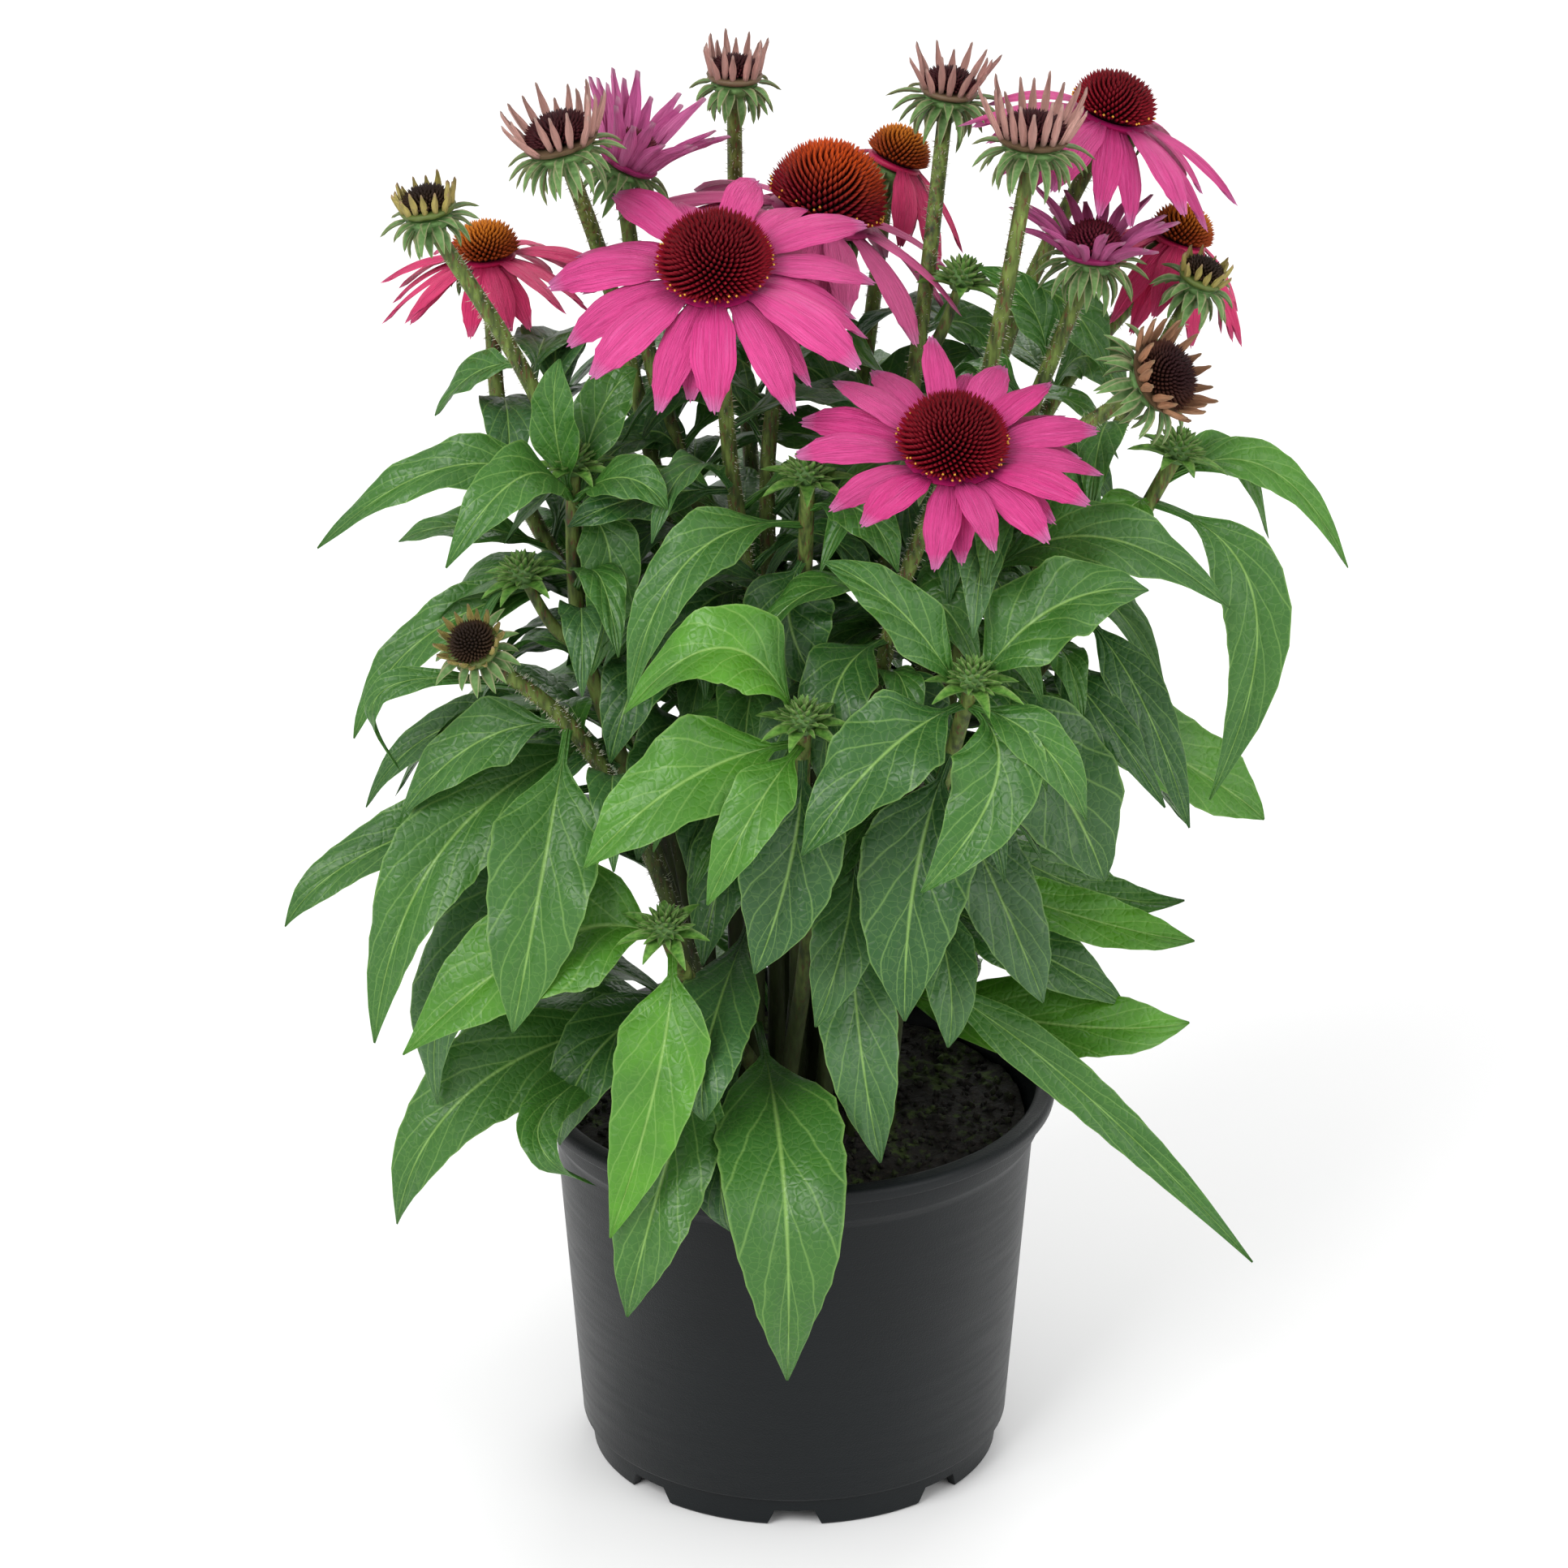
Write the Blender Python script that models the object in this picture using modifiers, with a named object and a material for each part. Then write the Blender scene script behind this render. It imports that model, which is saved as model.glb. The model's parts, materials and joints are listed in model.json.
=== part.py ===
"""A purple coneflower plant in its black nursery pot.

Lengths are millimetres until a mesh is made, and the meshes are in metres. +Z is up, the pot
stands on z = 0 about the origin, and the photograph was taken from -Y. Places read from the
photograph are pixels of its 1932 pixel square.
"""

import math
import random
from collections import namedtuple

import bmesh
import bpy
from mathutils import Matrix, Vector
from mathutils.bvhtree import BVHTree

MM = 0.001
UP = Vector((0, 0, 1))
GOLDEN_ANGLE = math.radians(137.508)

# The camera of the photograph
VIEW_CENTRE = 966
VIEW_DISTANCE = 2550
VIEW_FOCUS = 8805
VIEW_ELEVATION = math.radians(23.8)
VIEW_AIM = Vector((-3.8, 0, 260.7))

# The pot
POT_HEIGHT = 145
POT_LIP_RADIUS = 95
POT_LIP_HEIGHT = 5.5
POT_COLLAR_RADIUS = 89.5
POT_COLLAR_FOOT = 127
POT_BODY_TOP_RADIUS = 87
POT_BODY_FOOT_RADIUS = 78
POT_SEAM_HEIGHT = 12
POT_FOOT_RADIUS = 75.5
POT_WALL = 2
POT_FLOOR = 9
POT_BOSS_RADIUS = 9
POT_SIDES = 28
MERGE_DISTANCE = 0.000003
FOOT_GAPS = 8
FOOT_GAP_WIDTH = 20
FOOT_GAP_HEIGHT = 6.5
FOOT_GAP_TAPER = 0.72
DRAIN_HOLES = 4
DRAIN_HOLE_RADIUS = 5
DRAIN_HOLE_PLACE = 48

# The soil
SOIL_TOP = 131
SOIL_RINGS = 4
SOIL_SPOKES = 16
SOIL_GAP = 0.25
CROWN_RADIUS = 36
SPARE_SPOTS = 5
STEM_SINK = 26
HOLE_GAP = 0.35

# Stems, leaves and bracts
STEM_RADIUS = 3.0
STEM_STEPS = 5
STEM_SIDES = 5
TOP_BARE = 9
LEAF_RIB = 1.5
LEAF_FOLD = 0.22
LEAF_WAVE = 0.10
PETIOLE_WIDTH = 3.6
FILL_SPACING = 54
LEAF_SPREAD = 1.2
SMALL_LEAF = 28
LARGE_LEAF = 38
FILL_LENGTH = 104
FILL_WIDTH = 32
FILL_FRONT = -26
CLEARANCE = 0.5
FLAT_ANGLE = 0.05

# Heads
HUB_THICKNESS = 2
RAY_KEEL = 1.0
RAY_NOTCH = 2
CUP_DEPTH = 9

# Rows along a leaf: how far along it, its share of the full half width, and the edge wave
LEAF_ROWS = (
    (0.00, 0.00, 0.0),
    (0.18, 0.00, 0.0),
    (0.38, 1.00, 1.0),
    (0.55, 0.86, -1.0),
    (0.76, 0.58, 1.0),
    (1.00, 0.00, 0.0),
)
MIDDLING_LEAF_ROWS = (
    (0.00, 0.00, 0.0),
    (0.20, 0.06, 0.0),
    (0.44, 1.00, 1.0),
    (0.72, 0.66, -1.0),
    (1.00, 0.00, 0.0),
)
SMALL_LEAF_ROWS = ((0.00, 0.00, 0.0), (0.38, 1.00, 0.8), (0.68, 0.68, -1.0), (1.00, 0.00, 0.0))
# Rows along a ray petal: how far along it, and its share of the full half width
RAY_ROWS = ((0.32, 0.90), (0.72, 1.00), (1.00, 0.52))
SMALL_RAY_ROWS = ((0.45, 1.00), (1.00, 0.56))
BUD_RAY_ROWS = ((0.45, 1.00), (1.00, 0.45))

# Each head: where its base is in the photograph and how far behind the pot's axis, which way
# it leans (degrees from upright, towards a bearing with 0 right and -90 at the viewer), the
# radius and height of its cone, its rays with their pitch in degrees at the root and at the
# tip, and its bracts as whorls, bracts in a whorl, length and pitch.
Head = namedtuple(
    "Head",
    "name base back lean bearing cone rays ray_length ray_width pitch bracts bare",
    defaults=(None,),
)
OPEN_BRACTS = (1, 6, 9, -62)
BUD_BRACTS = (2, 7, 14, -14)
SMALL_BRACTS = (2, 6, 11, -14)

HEADS = (
    Head("a", (882, 340), -45, 24, -95, (19.5, 19), 15, 44, 14.5, (6, -42), OPEN_BRACTS),
    Head("b", (1010, 272), -4, 18, 6, (20.5, 27), 14, 44, 12, (-6, -44), OPEN_BRACTS),
    Head("c", (1100, 205), 80, 24, 15, (11, 12.5), 11, 35, 10, (-28, -62), OPEN_BRACTS, (165, 265)),
    Head("d", (1366, 150), 34, 17, 5, (14.5, 15), 13, 41, 11.5, (-8, -50), OPEN_BRACTS),
    Head("e", (1450, 302), 52, 20, 10, (11, 12), 12, 35, 10, (-26, -66), OPEN_BRACTS),
    Head("f", (600, 322), 30, 5, 180, (11.5, 11.5), 13, 33, 9.5, (-6, -42), OPEN_BRACTS),
    Head("g", (1172, 562), -75, 22, -80, (18.5, 19), 15, 36, 12.5, (22, -22), OPEN_BRACTS),
    Head("h", (772, 203), 16, 26, 0, (9.5, 10), 11, 28, 6.5, (66, 44), BUD_BRACTS),
    Head("i", (1345, 316), 0, 6, 0, (9.5, 10), 11, 24, 5, (52, 20), BUD_BRACTS),
    Head("j", (693, 180), -30, 15, 180, (11.5, 8), 10, 17, 3.6, (52, 76), BUD_BRACTS),
    Head("k", (905, 98), 60, 2, 0, (8.5, 5), 8, 13, 3.2, (74, 84), SMALL_BRACTS),
    Head("l", (1168, 116), 52, 8, 0, (9, 6), 8, 15, 3.2, (62, 66), BUD_BRACTS),
    Head("m", (1272, 176), -12, 4, 0, (11, 7), 10, 19, 3.6, (62, 76), BUD_BRACTS),
    Head("n", (528, 262), -28, 10, 180, (8.5, 6), 8, 9, 3.2, (66, 84), SMALL_BRACTS),
    Head("o", (1478, 345), 12, 22, -20, (7, 5), 7, 7.5, 2.8, (66, 84), SMALL_BRACTS),
    Head("p", (1424, 468), -50, 58, -28, (12, 9), 10, 12, 4.2, (48, 70), BUD_BRACTS),
    Head("q", (584, 798), -70, 40, -110, (8, 5), 8, 8, 3.0, (48, 74), SMALL_BRACTS),
)

# Each stem: the places that it passes below its head or leafy tip, from the top down, as
# pixel column, pixel row and distance behind the pot's axis. A tip is a shut green bud.
Stem = namedtuple("Stem", "name way tips fills", defaults=((), True))

STEMS = (
    Stem("a", ((882, 480, -38), (905, 600, -32), (935, 820, -25))),
    Stem("b", ((962, 480, -6), (944, 570, -4), (950, 820, 2))),
    Stem("c", ((1085, 330, 78), (1040, 600, 60), (1000, 880, 38))),
    Stem("d", ((1325, 235, 36), (1262, 350, 34), (1190, 620, 28), (1110, 900, 18))),
    Stem("e", ((1396, 365, 50), (1340, 412, 50), (1230, 640, 40), (1120, 900, 28))),
    Stem("f", ((600, 410, 26), (608, 490, 22), (640, 600, 16), (780, 880, 4))),
    Stem("g", ((1138, 640, -66), (1108, 735, -60), (1080, 860, -48))),
    Stem("h", ((742, 262, 14), (792, 420, 10), (846, 540, 8), (890, 820, 2))),
    Stem("i", ((1328, 370, 0), (1290, 465, 0), (1190, 720, 0))),
    Stem("j", ((726, 260, -28), (776, 450, -26), (812, 610, -24), (838, 760, -22))),
    Stem("k", ((906, 230, 56), (916, 500, 44), (950, 800, 28))),
    Stem("l", ((1152, 280, 48), (1128, 440, 40), (1080, 760, 24)), ((1184, 348, 14),)),
    Stem("m", ((1262, 230, -12), (1236, 380, -14), (1208, 500, -16), (1150, 760, -18))),
    Stem("n", ((552, 325, -28), (612, 412, -27), (672, 512, -25), (760, 760, -18))),
    Stem("o", ((1458, 378, 10), (1420, 440, 8), (1330, 620, 4), (1180, 880, -2))),
    Stem("p", ((1380, 500, -48), (1300, 542, -48), (1238, 625, -46), (1190, 762, -40))),
    Stem("q", ((622, 842, -62), (700, 892, -54), (790, 1030, -40)), (), False),
    Stem("r", ((992, 720, -50), (985, 900, -36)), ((995, 590, -60),)),
    Stem("s", ((1178, 920, -88), (1120, 1080, -52)), ((1198, 842, -100),), False),
    Stem("t", ((988, 990, -84), (1000, 1120, -50)), ((990, 892, -102),), False),
    Stem("u", ((702, 700, -32), (735, 850, -30), (800, 1030, -24)), ((705, 575, -32), (645, 712, -42))),
    Stem("x", ((838, 1190, -76), (890, 1260, -46)), ((820, 1148, -98),), False),
    Stem("y", ((1425, 620, -12), (1330, 760, -10), (1180, 980, -8)), ((1450, 560, -12),)),
)

# Each leaf seen in the photograph: its stem, root, middle and tip in pixels, the distance of
# the middle and the tip behind the pot's axis, its width in pixels across, and its roll.
Leaf = namedtuple("Leaf", "stem root middle tip back width roll")

LEAVES = (
    Leaf("n", (640, 440), (585, 462), (537, 513), (-8, -8), 46, 20),
    Leaf("u", (705, 620), (684, 520), (690, 442), (-40, -40), 50, -20),
    Leaf("u", (702, 600), (560, 575), (392, 676), (-40, -36), 58, 0),
    Leaf("u", (702, 605), (640, 590), (550, 700), (-64, -80), 70, 0),
    Leaf("u", (706, 600), (770, 590), (822, 628), (-58, -66), 56, 0),
    Leaf("f", (650, 690), (575, 650), (492, 668), (0, 6), 50, 20),
    Leaf("n", (700, 720), (540, 775), (437, 910), (-24, -30), 56, 0),
    Leaf("q", (640, 850), (475, 850), (495, 950), (-66, -66), 28, 0),
    Leaf("f", (740, 900), (570, 890), (452, 995), (0, -4), 50, 0),
    Leaf("q", (700, 905), (590, 915), (495, 1005), (-52, -56), 72, 0),
    Leaf("q", (700, 900), (668, 1080), (632, 1272), (-92, -104), 112, 0),
    Leaf("n", (760, 900), (560, 1030), (462, 1285), (-58, -78), 100, 0),
    Leaf("f", (780, 960), (500, 1030), (352, 1142), (-18, -28), 66, 0),
    Leaf("f", (800, 1020), (590, 1150), (540, 1360), (-44, -60), 88, 0),
    Leaf("x", (826, 1160), (690, 1155), (497, 1300), (-96, -104), 138, 0),
    Leaf("x", (824, 1165), (812, 1320), (752, 1525), (-112, -118), 92, 0),
    Leaf("j", (900, 1250), (820, 1440), (773, 1622), (-106, -110), 100, 0),
    Leaf("a", (945, 1250), (965, 1450), (970, 1700), (-114, -116), 132, 0),
    Leaf("n", (850, 1240), (600, 1330), (490, 1508), (-62, -76), 104, 0),
    Leaf("f", (870, 1250), (672, 1370), (735, 1460), (-80, -100), 50, 0),
    Leaf("h", (900, 1200), (742, 1290), (690, 1410), (-72, -84), 84, 0),
    Leaf("a", (930, 1110), (876, 1250), (868, 1380), (-84, -98), 82, 0),
    Leaf("j", (920, 1290), (888, 1400), (900, 1516), (-94, -104), 76, 0),
    Leaf("t", (988, 915), (850, 960), (720, 1070), (-116, -124), 104, 0),
    Leaf("t", (990, 920), (930, 1000), (872, 1115), (-128, -134), 62, 0),
    Leaf("t", (990, 905), (900, 800), (770, 880), (-104, -104), 92, 0),
    Leaf("t", (988, 935), (975, 1060), (930, 1200), (-112, -116), 104, 0),
    Leaf("s", (1192, 850), (1110, 755), (1015, 693), (-104, -104), 62, 0),
    Leaf("s", (1198, 848), (1290, 755), (1415, 728), (-92, -82), 96, 0),
    Leaf("s", (1195, 860), (1228, 960), (1135, 1100), (-118, -128), 92, 0),
    Leaf("s", (1198, 855), (1280, 915), (1338, 1010), (-112, -112), 56, 0),
    Leaf("s", (1188, 870), (1090, 930), (988, 1055), (-120, -130), 100, 0),
    Leaf("g", (1095, 800), (1030, 850), (1022, 985), (-84, -96), 74, 0),
    Leaf("s", (1175, 930), (1128, 1080), (1115, 1258), (-104, -112), 116, 0),
    Leaf("p", (1200, 740), (1345, 662), (1515, 750), (-52, -44), 82, 0),
    Leaf("y", (1440, 600), (1555, 575), (1660, 700), (-4, 2), 50, 0),
    Leaf("y", (1420, 630), (1545, 740), (1490, 985), (-26, -36), 72, 0),
    Leaf("y", (1340, 760), (1405, 860), (1465, 1020), (-30, -40), 56, 0),
    Leaf("y", (1290, 820), (1350, 870), (1435, 995), (-36, -44), 50, 0),
    Leaf("o", (1240, 830), (1440, 930), (1557, 1010), (12, 16), 96, 0),
    Leaf("p", (1180, 800), (1300, 960), (1360, 1085), (-60, -62), 124, 0),
    Leaf("m", (1130, 900), (1225, 1090), (1285, 1235), (-66, -78), 84, 0),
    Leaf("o", (1150, 1000), (1320, 1090), (1460, 1110), (8, 6), 50, 0),
    Leaf("m", (1120, 1050), (1330, 1130), (1472, 1160), (-18, -22), 60, 0),
    Leaf("i", (1110, 1080), (1260, 1165), (1385, 1238), (-30, -40), 74, 0),
    Leaf("d", (1060, 1200), (1290, 1240), (1465, 1260), (-30, -34), 92, 0),
    Leaf("p", (1100, 1200), (1310, 1325), (1543, 1555), (-44, -50), 50, 20),
    Leaf("g", (1045, 1100), (1058, 1270), (1085, 1432), (-78, -84), 82, 0),
    Leaf("p", (1120, 1080), (1168, 1190), (1168, 1290), (-72, -80), 60, 0),
    Leaf("g", (1050, 1050), (1042, 1150), (1005, 1265), (-82, -92), 72, 0),
    Leaf("r", (990, 690), (972, 760), (1012, 850), (-66, -72), 92, 0),
    Leaf("r", (995, 640), (850, 690), (775, 870), (-80, -88), 66, 0),
    Leaf("r", (995, 615), (1060, 630), (1106, 705), (-68, -76), 56, 0),
    Leaf("a", (905, 600), (790, 590), (700, 650), (-44, -50), 56, 0),
    Leaf("i", (1290, 465), (1268, 400), (1205, 330), (10, 14), 46, 0),
    Leaf("d", (1262, 350), (1320, 380), (1365, 460), (26, 24), 62, 0),
    Leaf("l", (1140, 400), (1190, 400), (1235, 450), (34, 30), 50, 0),
    Leaf("u", (708, 610), (752, 690), (728, 832), (-44, -50), 62, 0),
    Leaf("u", (705, 585), (742, 505), (785, 456), (-24, -18), 58, 0),
    Leaf("e", (1240, 620), (1310, 560), (1372, 625), (14, 10), 62, 0),
    Leaf("y", (1450, 590), (1508, 560), (1562, 664), (4, 8), 42, 0),
    Leaf("y", (1430, 640), (1385, 640), (1350, 740), (-22, -30), 56, 0),
    Leaf("c", (1040, 560), (1120, 470), (1200, 432), (56, 50), 66, 0),
    Leaf("h", (846, 600), (810, 510), (755, 560), (6, 0), 60, 0),
    Leaf("a", (925, 740), (862, 752), (806, 850), (-40, -52), 76, 0),
    Leaf("b", (950, 760), (1015, 770), (1082, 900), (-20, -34), 76, 0),
    Leaf("k", (935, 700), (880, 690), (836, 800), (14, 0), 76, 0),
    Leaf("g", (1095, 790), (1150, 742), (1205, 830), (-62, -70), 70, 0),
    Leaf("j", (842, 800), (790, 830), (752, 940), (-42, -56), 76, 0),
    Leaf("h", (880, 880), (828, 930), (786, 1060), (-40, -56), 84, 0),
    Leaf("i", (1130, 880), (1190, 940), (1232, 1080), (-30, -44), 84, 0),
    Leaf("m", (1145, 790), (1222, 820), (1296, 940), (-36, -46), 80, 0),
    Leaf("b", (960, 980), (905, 1050), (866, 1190), (-44, -62), 84, 0),
    Leaf("b", (944, 570), (872, 470), (792, 540), (12, 2), 66, 0),
    Leaf("k", (916, 500), (985, 450), (1068, 540), (48, 40), 66, 0),
    Leaf("k", (940, 760), (1010, 660), (1096, 760), (24, 12), 76, 0),
    Leaf("c", (1020, 740), (1100, 640), (1196, 720), (46, 40), 70, 0),
    Leaf("e", (1290, 500), (1340, 440), (1392, 520), (44, 38), 62, 0),
    Leaf("g", (1085, 830), (1130, 880), (1172, 1010), (-60, -72), 70, 0),
    Leaf("l", (1090, 720), (1170, 700), (1262, 800), (14, 4), 76, 0),
    Leaf("h", (890, 820), (950, 830), (960, 960), (-24, -40), 76, 0),
    Leaf("c", (1000, 900), (1060, 930), (1092, 1070), (14, -4), 84, 0),
    Leaf("j", (840, 900), (868, 980), (858, 1110), (-34, -48), 76, 0),
)


def view_axes():
    """The eye of the photograph's camera, with its right, up and backward directions."""
    up = Vector((0, math.sin(VIEW_ELEVATION), math.cos(VIEW_ELEVATION)))
    backward = Vector((0, -math.cos(VIEW_ELEVATION), math.sin(VIEW_ELEVATION)))
    return VIEW_AIM + backward * VIEW_DISTANCE, Vector((1, 0, 0)), up, backward


def seen(column, row, back):
    """The point at this pixel of the photograph, this far behind the pot's axis."""
    eye, right, up, backward = view_axes()
    across = (column - VIEW_CENTRE) / VIEW_FOCUS
    above = (VIEW_CENTRE - row) / VIEW_FOCUS
    ray = right * across + up * above - backward
    return eye + ray * ((back - eye.y) / ray.y)


def pixel_of(point):
    """The pixel of the photograph where a point is seen."""
    eye, right, up, backward = view_axes()
    gap = point - eye
    scale = VIEW_FOCUS / -gap.dot(backward)
    return Vector((VIEW_CENTRE + gap.dot(right) * scale, VIEW_CENTRE - gap.dot(up) * scale))


def smooth_path(points, steps):
    """Points spaced evenly along a smooth curve through the given ones."""
    ends = [points[0] * 2 - points[1], *points, points[-1] * 2 - points[-2]]
    fine = []
    for index in range(1, len(ends) - 2):
        before, start, end, after = ends[index - 1 : index + 3]
        for part in range(12):
            t = part / 12
            fine.append(
                (start * 2 + (end - before) * t + (before * 2 - start * 5 + end * 4 - after) * t**2
                 + (start * 3 - before - end * 3 + after) * t**3) / 2
            )
    fine.append(points[-1])
    lengths = [0]
    for first, second in zip(fine, fine[1:]):
        lengths.append(lengths[-1] + (second - first).length)
    path = []
    for step in range(steps + 1):
        wanted = lengths[-1] * step / steps
        index = max(1, next(i for i, length in enumerate(lengths) if length >= wanted - 1e-6))
        share = (wanted - lengths[index - 1]) / (lengths[index] - lengths[index - 1])
        path.append(fine[index - 1].lerp(fine[index], share))
    return path


def tube(path, radii, sides=STEM_SIDES):
    """A closed tube along a path, as points and faces."""
    rings = []
    side = (path[1] - path[0]).cross(Vector((0.3, 1, 0.2))).normalized()
    for index, point in enumerate(path):
        along = path[min(index + 1, len(path) - 1)] - path[max(index - 1, 0)]
        side = (side - along * (side.dot(along) / along.length_squared)).normalized()
        other = along.normalized().cross(side)
        for step in range(sides):
            angle = math.tau * step / sides
            rings.append(point + (side * math.cos(angle) + other * math.sin(angle)) * radii[index])
    return rings, ring_faces(len(path), sides)


def ring_faces(count, sides):
    """Faces that join rings of points to each other in order and close both ends."""
    faces = [tuple(reversed(range(sides)))]
    for ring in range(count - 1):
        for step in range(sides):
            low = ring * sides + step
            low_next = ring * sides + (step + 1) % sides
            faces.append((low, low_next, low_next + sides))
            faces.append((low, low_next + sides, low + sides))
    faces.append(tuple(range((count - 1) * sides, count * sides)))
    return faces


def bend(root, middle, tip, share):
    """The point and the direction of a curve from root to tip through the middle."""
    handle = middle * 2 - (root + tip) / 2
    point = root * (1 - share) ** 2 + handle * (2 * share * (1 - share)) + tip * share**2
    along = (handle - root) * (1 - share) + (tip - handle) * share
    return point, along.normalized()


def leaf_blade(root, middle, tip, width, facing, extra=0):
    """A folded leaf with waved edges and a rib, on a stalk, as points and faces.

    Each row has its left edge, the top of the rib, its right edge and the rib's underside,
    and both faces are split into triangles alike. extra thickens it for a clearance test.
    """
    across = (tip - root).cross(facing)
    rows = LEAF_ROWS if width > LARGE_LEAF else MIDDLING_LEAF_ROWS
    if width < SMALL_LEAF:
        rows = SMALL_LEAF_ROWS
    points = []
    for share, spread, wave in rows[:-1]:
        point, along = bend(root, middle, tip, share)
        side = (across - along * across.dot(along)).normalized()
        normal = side.cross(along)
        half = PETIOLE_WIDTH / 2 + (width / 2 - PETIOLE_WIDTH / 2) * spread
        fold = normal * (half * LEAF_FOLD if spread else 0)
        ripple = normal * (wave * half * LEAF_WAVE)
        points.append(point - side * (half + extra) + fold + ripple)
        points.append(point + normal * (LEAF_RIB * 0.4 + extra))
        points.append(point + side * (half + extra) + fold - ripple)
        points.append(point - normal * (LEAF_RIB * 0.6 + extra))
    points.append(tip)
    faces = [(3, 2, 1, 0)]
    for left in range(0, len(points) - 5, 4):
        top, right, under = left + 1, left + 2, left + 3
        for edge, rib in ((left, top), (right, top), (left, under), (right, under)):
            faces += [(edge, rib, rib + 4), (edge, rib + 4, edge + 4)]
    end = len(points) - 1
    for step in range(4):
        faces.append((end - 4 + step, end - 4 + (step + 1) % 4, end))
    return points, faces


def ray_rows(bearing, start, length, width, pitch, rows):
    """The rows of a ray petal that leaves a head's axis at a bearing, three points to a row.

    Each row has its two edges and the keel below them. pitch is in degrees above the head's
    own plane, at the root and at the tip.
    """
    outward = Vector((math.cos(bearing), math.sin(bearing), 0))
    side = Vector((-math.sin(bearing), math.cos(bearing), 0))
    points = []
    position = start.copy()
    past = 0
    for share, spread in rows:
        angle = math.radians(pitch[0] + (pitch[1] - pitch[0]) * (past + share) / 2)
        position += (outward * math.cos(angle) + UP * math.sin(angle)) * (share - past) * length
        past = share
        angle = math.radians(pitch[0] + (pitch[1] - pitch[0]) * share)
        above = UP * math.cos(angle) - outward * math.sin(angle)
        half = width / 2 * spread
        points.append(position - side * half + above * RAY_KEEL * 0.35)
        points.append(position + side * half + above * RAY_KEEL * 0.35)
        points.append(position - above * RAY_KEEL * 0.65)
    points[-1] -= (outward * math.cos(angle) + UP * math.sin(angle)) * RAY_NOTCH
    return points


def spiked_dome(place, radius, height, rings, spokes, spike, foot=0.86, skirt=0):
    """A dome whose surface is raised into rows of points, as points and faces.

    skirt draws every second corner of its foot out into a small leaf.
    """
    points = [Vector((0, 0, 0))]
    for ring in range(rings):
        rise = math.radians(-8 + 98 * ring / rings)
        for spoke in range(spokes):
            turn = math.tau * spoke / spokes
            reach = radius * (foot if ring == 0 else math.cos(rise))
            tall = 0 if ring == 0 else height * (0.12 + 0.88 * math.sin(rise))
            if ring == 0 and spoke % 2:
                reach += skirt
            point = Vector((reach * math.cos(turn), reach * math.sin(turn), tall))
            if ring and (ring + spoke) % 2:
                out = Vector((math.cos(turn) * math.cos(rise), math.sin(turn) * math.cos(rise), 0.35))
                point += (out + UP * math.sin(rise)).normalized() * spike
            points.append(point)
    points.append(Vector((0, 0, height)))
    faces = []
    for spoke in range(spokes):
        following = (spoke + 1) % spokes
        faces.append((0, 1 + following, 1 + spoke))
        for ring in range(rings - 1):
            low = 1 + ring * spokes + spoke
            low_next = 1 + ring * spokes + following
            high, high_next = low + spokes, low_next + spokes
            if (ring + spoke) % 2:
                faces += [(low, low_next, high_next), (low, high_next, high)]
                continue
            faces += [(low, low_next, high), (low_next, high_next, high)]
        last = 1 + (rings - 1) * spokes
        faces.append((last + spoke, last + following, len(points) - 1))
    return [place @ point for point in points], faces


def head_place(head, shift=0):
    """The matrix that stands a head's own axis and base where the photograph has them."""
    bearing = math.radians(head.bearing)
    lean = math.radians(head.lean)
    axis = Vector((math.cos(bearing) * math.sin(lean), math.sin(bearing) * math.sin(lean), math.cos(lean)))
    base = seen(*head.base, head.back + shift)
    return Matrix.Translation(base) @ axis.to_track_quat("Z", "Y").to_matrix().to_4x4()


def hub_radius(head):
    """The rays of an open bloom start under its cone, and those of a bud stand round it."""
    return head.cone[0] * 0.9 if head.pitch[0] < 40 else head.cone[0] + 1.2


def rays_part(head, place):
    """The hub of a head with a ray drawn out of each of its sides, as points and faces.

    The rays lie in two layers. Where a head has lost a ray its side is shut.
    """
    chance = random.Random("rays " + head.name)
    radius = hub_radius(head)
    count = head.rays
    rows = RAY_ROWS if head.cone[0] > 13 else SMALL_RAY_ROWS
    if head.pitch[0] > 40:
        rows = BUD_RAY_ROWS
    points = []
    for turn, height in ((0, 0.3 + HUB_THICKNESS), (0.5, 0.3)):
        for index in range(count):
            angle = math.tau * (index + turn) / count
            points.append(Vector((radius * math.cos(angle), radius * math.sin(angle), height)))
    faces = [tuple(range(count)), tuple(reversed(range(count, count * 2)))]
    for index in range(count):
        following = (index + 1) % count
        faces.append((following, count + index, count + following))
        bearing = math.tau * (index + 0.5 + chance.uniform(-0.1, 0.1)) / count
        length = head.ray_length * chance.uniform(0.88, 1.04)
        layer = (5 if index % 2 else -5) + chance.uniform(-2, 2)
        pitch = (head.pitch[0] + layer, head.pitch[1] + layer + chance.uniform(-4, 4))
        width = head.ray_width * chance.uniform(0.9, 1.06)
        if is_bare(head, place, bearing):
            faces.append((index, following, count + index))
            continue
        start = Vector((math.cos(bearing), math.sin(bearing), 0)) * radius
        start.z = 0.3 + HUB_THICKNESS / 2
        past = (index, following, count + index)
        new = ray_rows(bearing, start, length, width, pitch, rows)
        for first in range(len(points), len(points) + len(new), 3):
            row = (first, first + 1, first + 2)
            for corner in range(3):
                low, low_next = past[corner], past[(corner + 1) % 3]
                high, high_next = row[corner], row[(corner + 1) % 3]
                faces += [(low, low_next, high_next), (low, high_next, high)]
            past = row
        faces.append(past)
        points += new
    return [place @ point for point in points], faces


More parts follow.
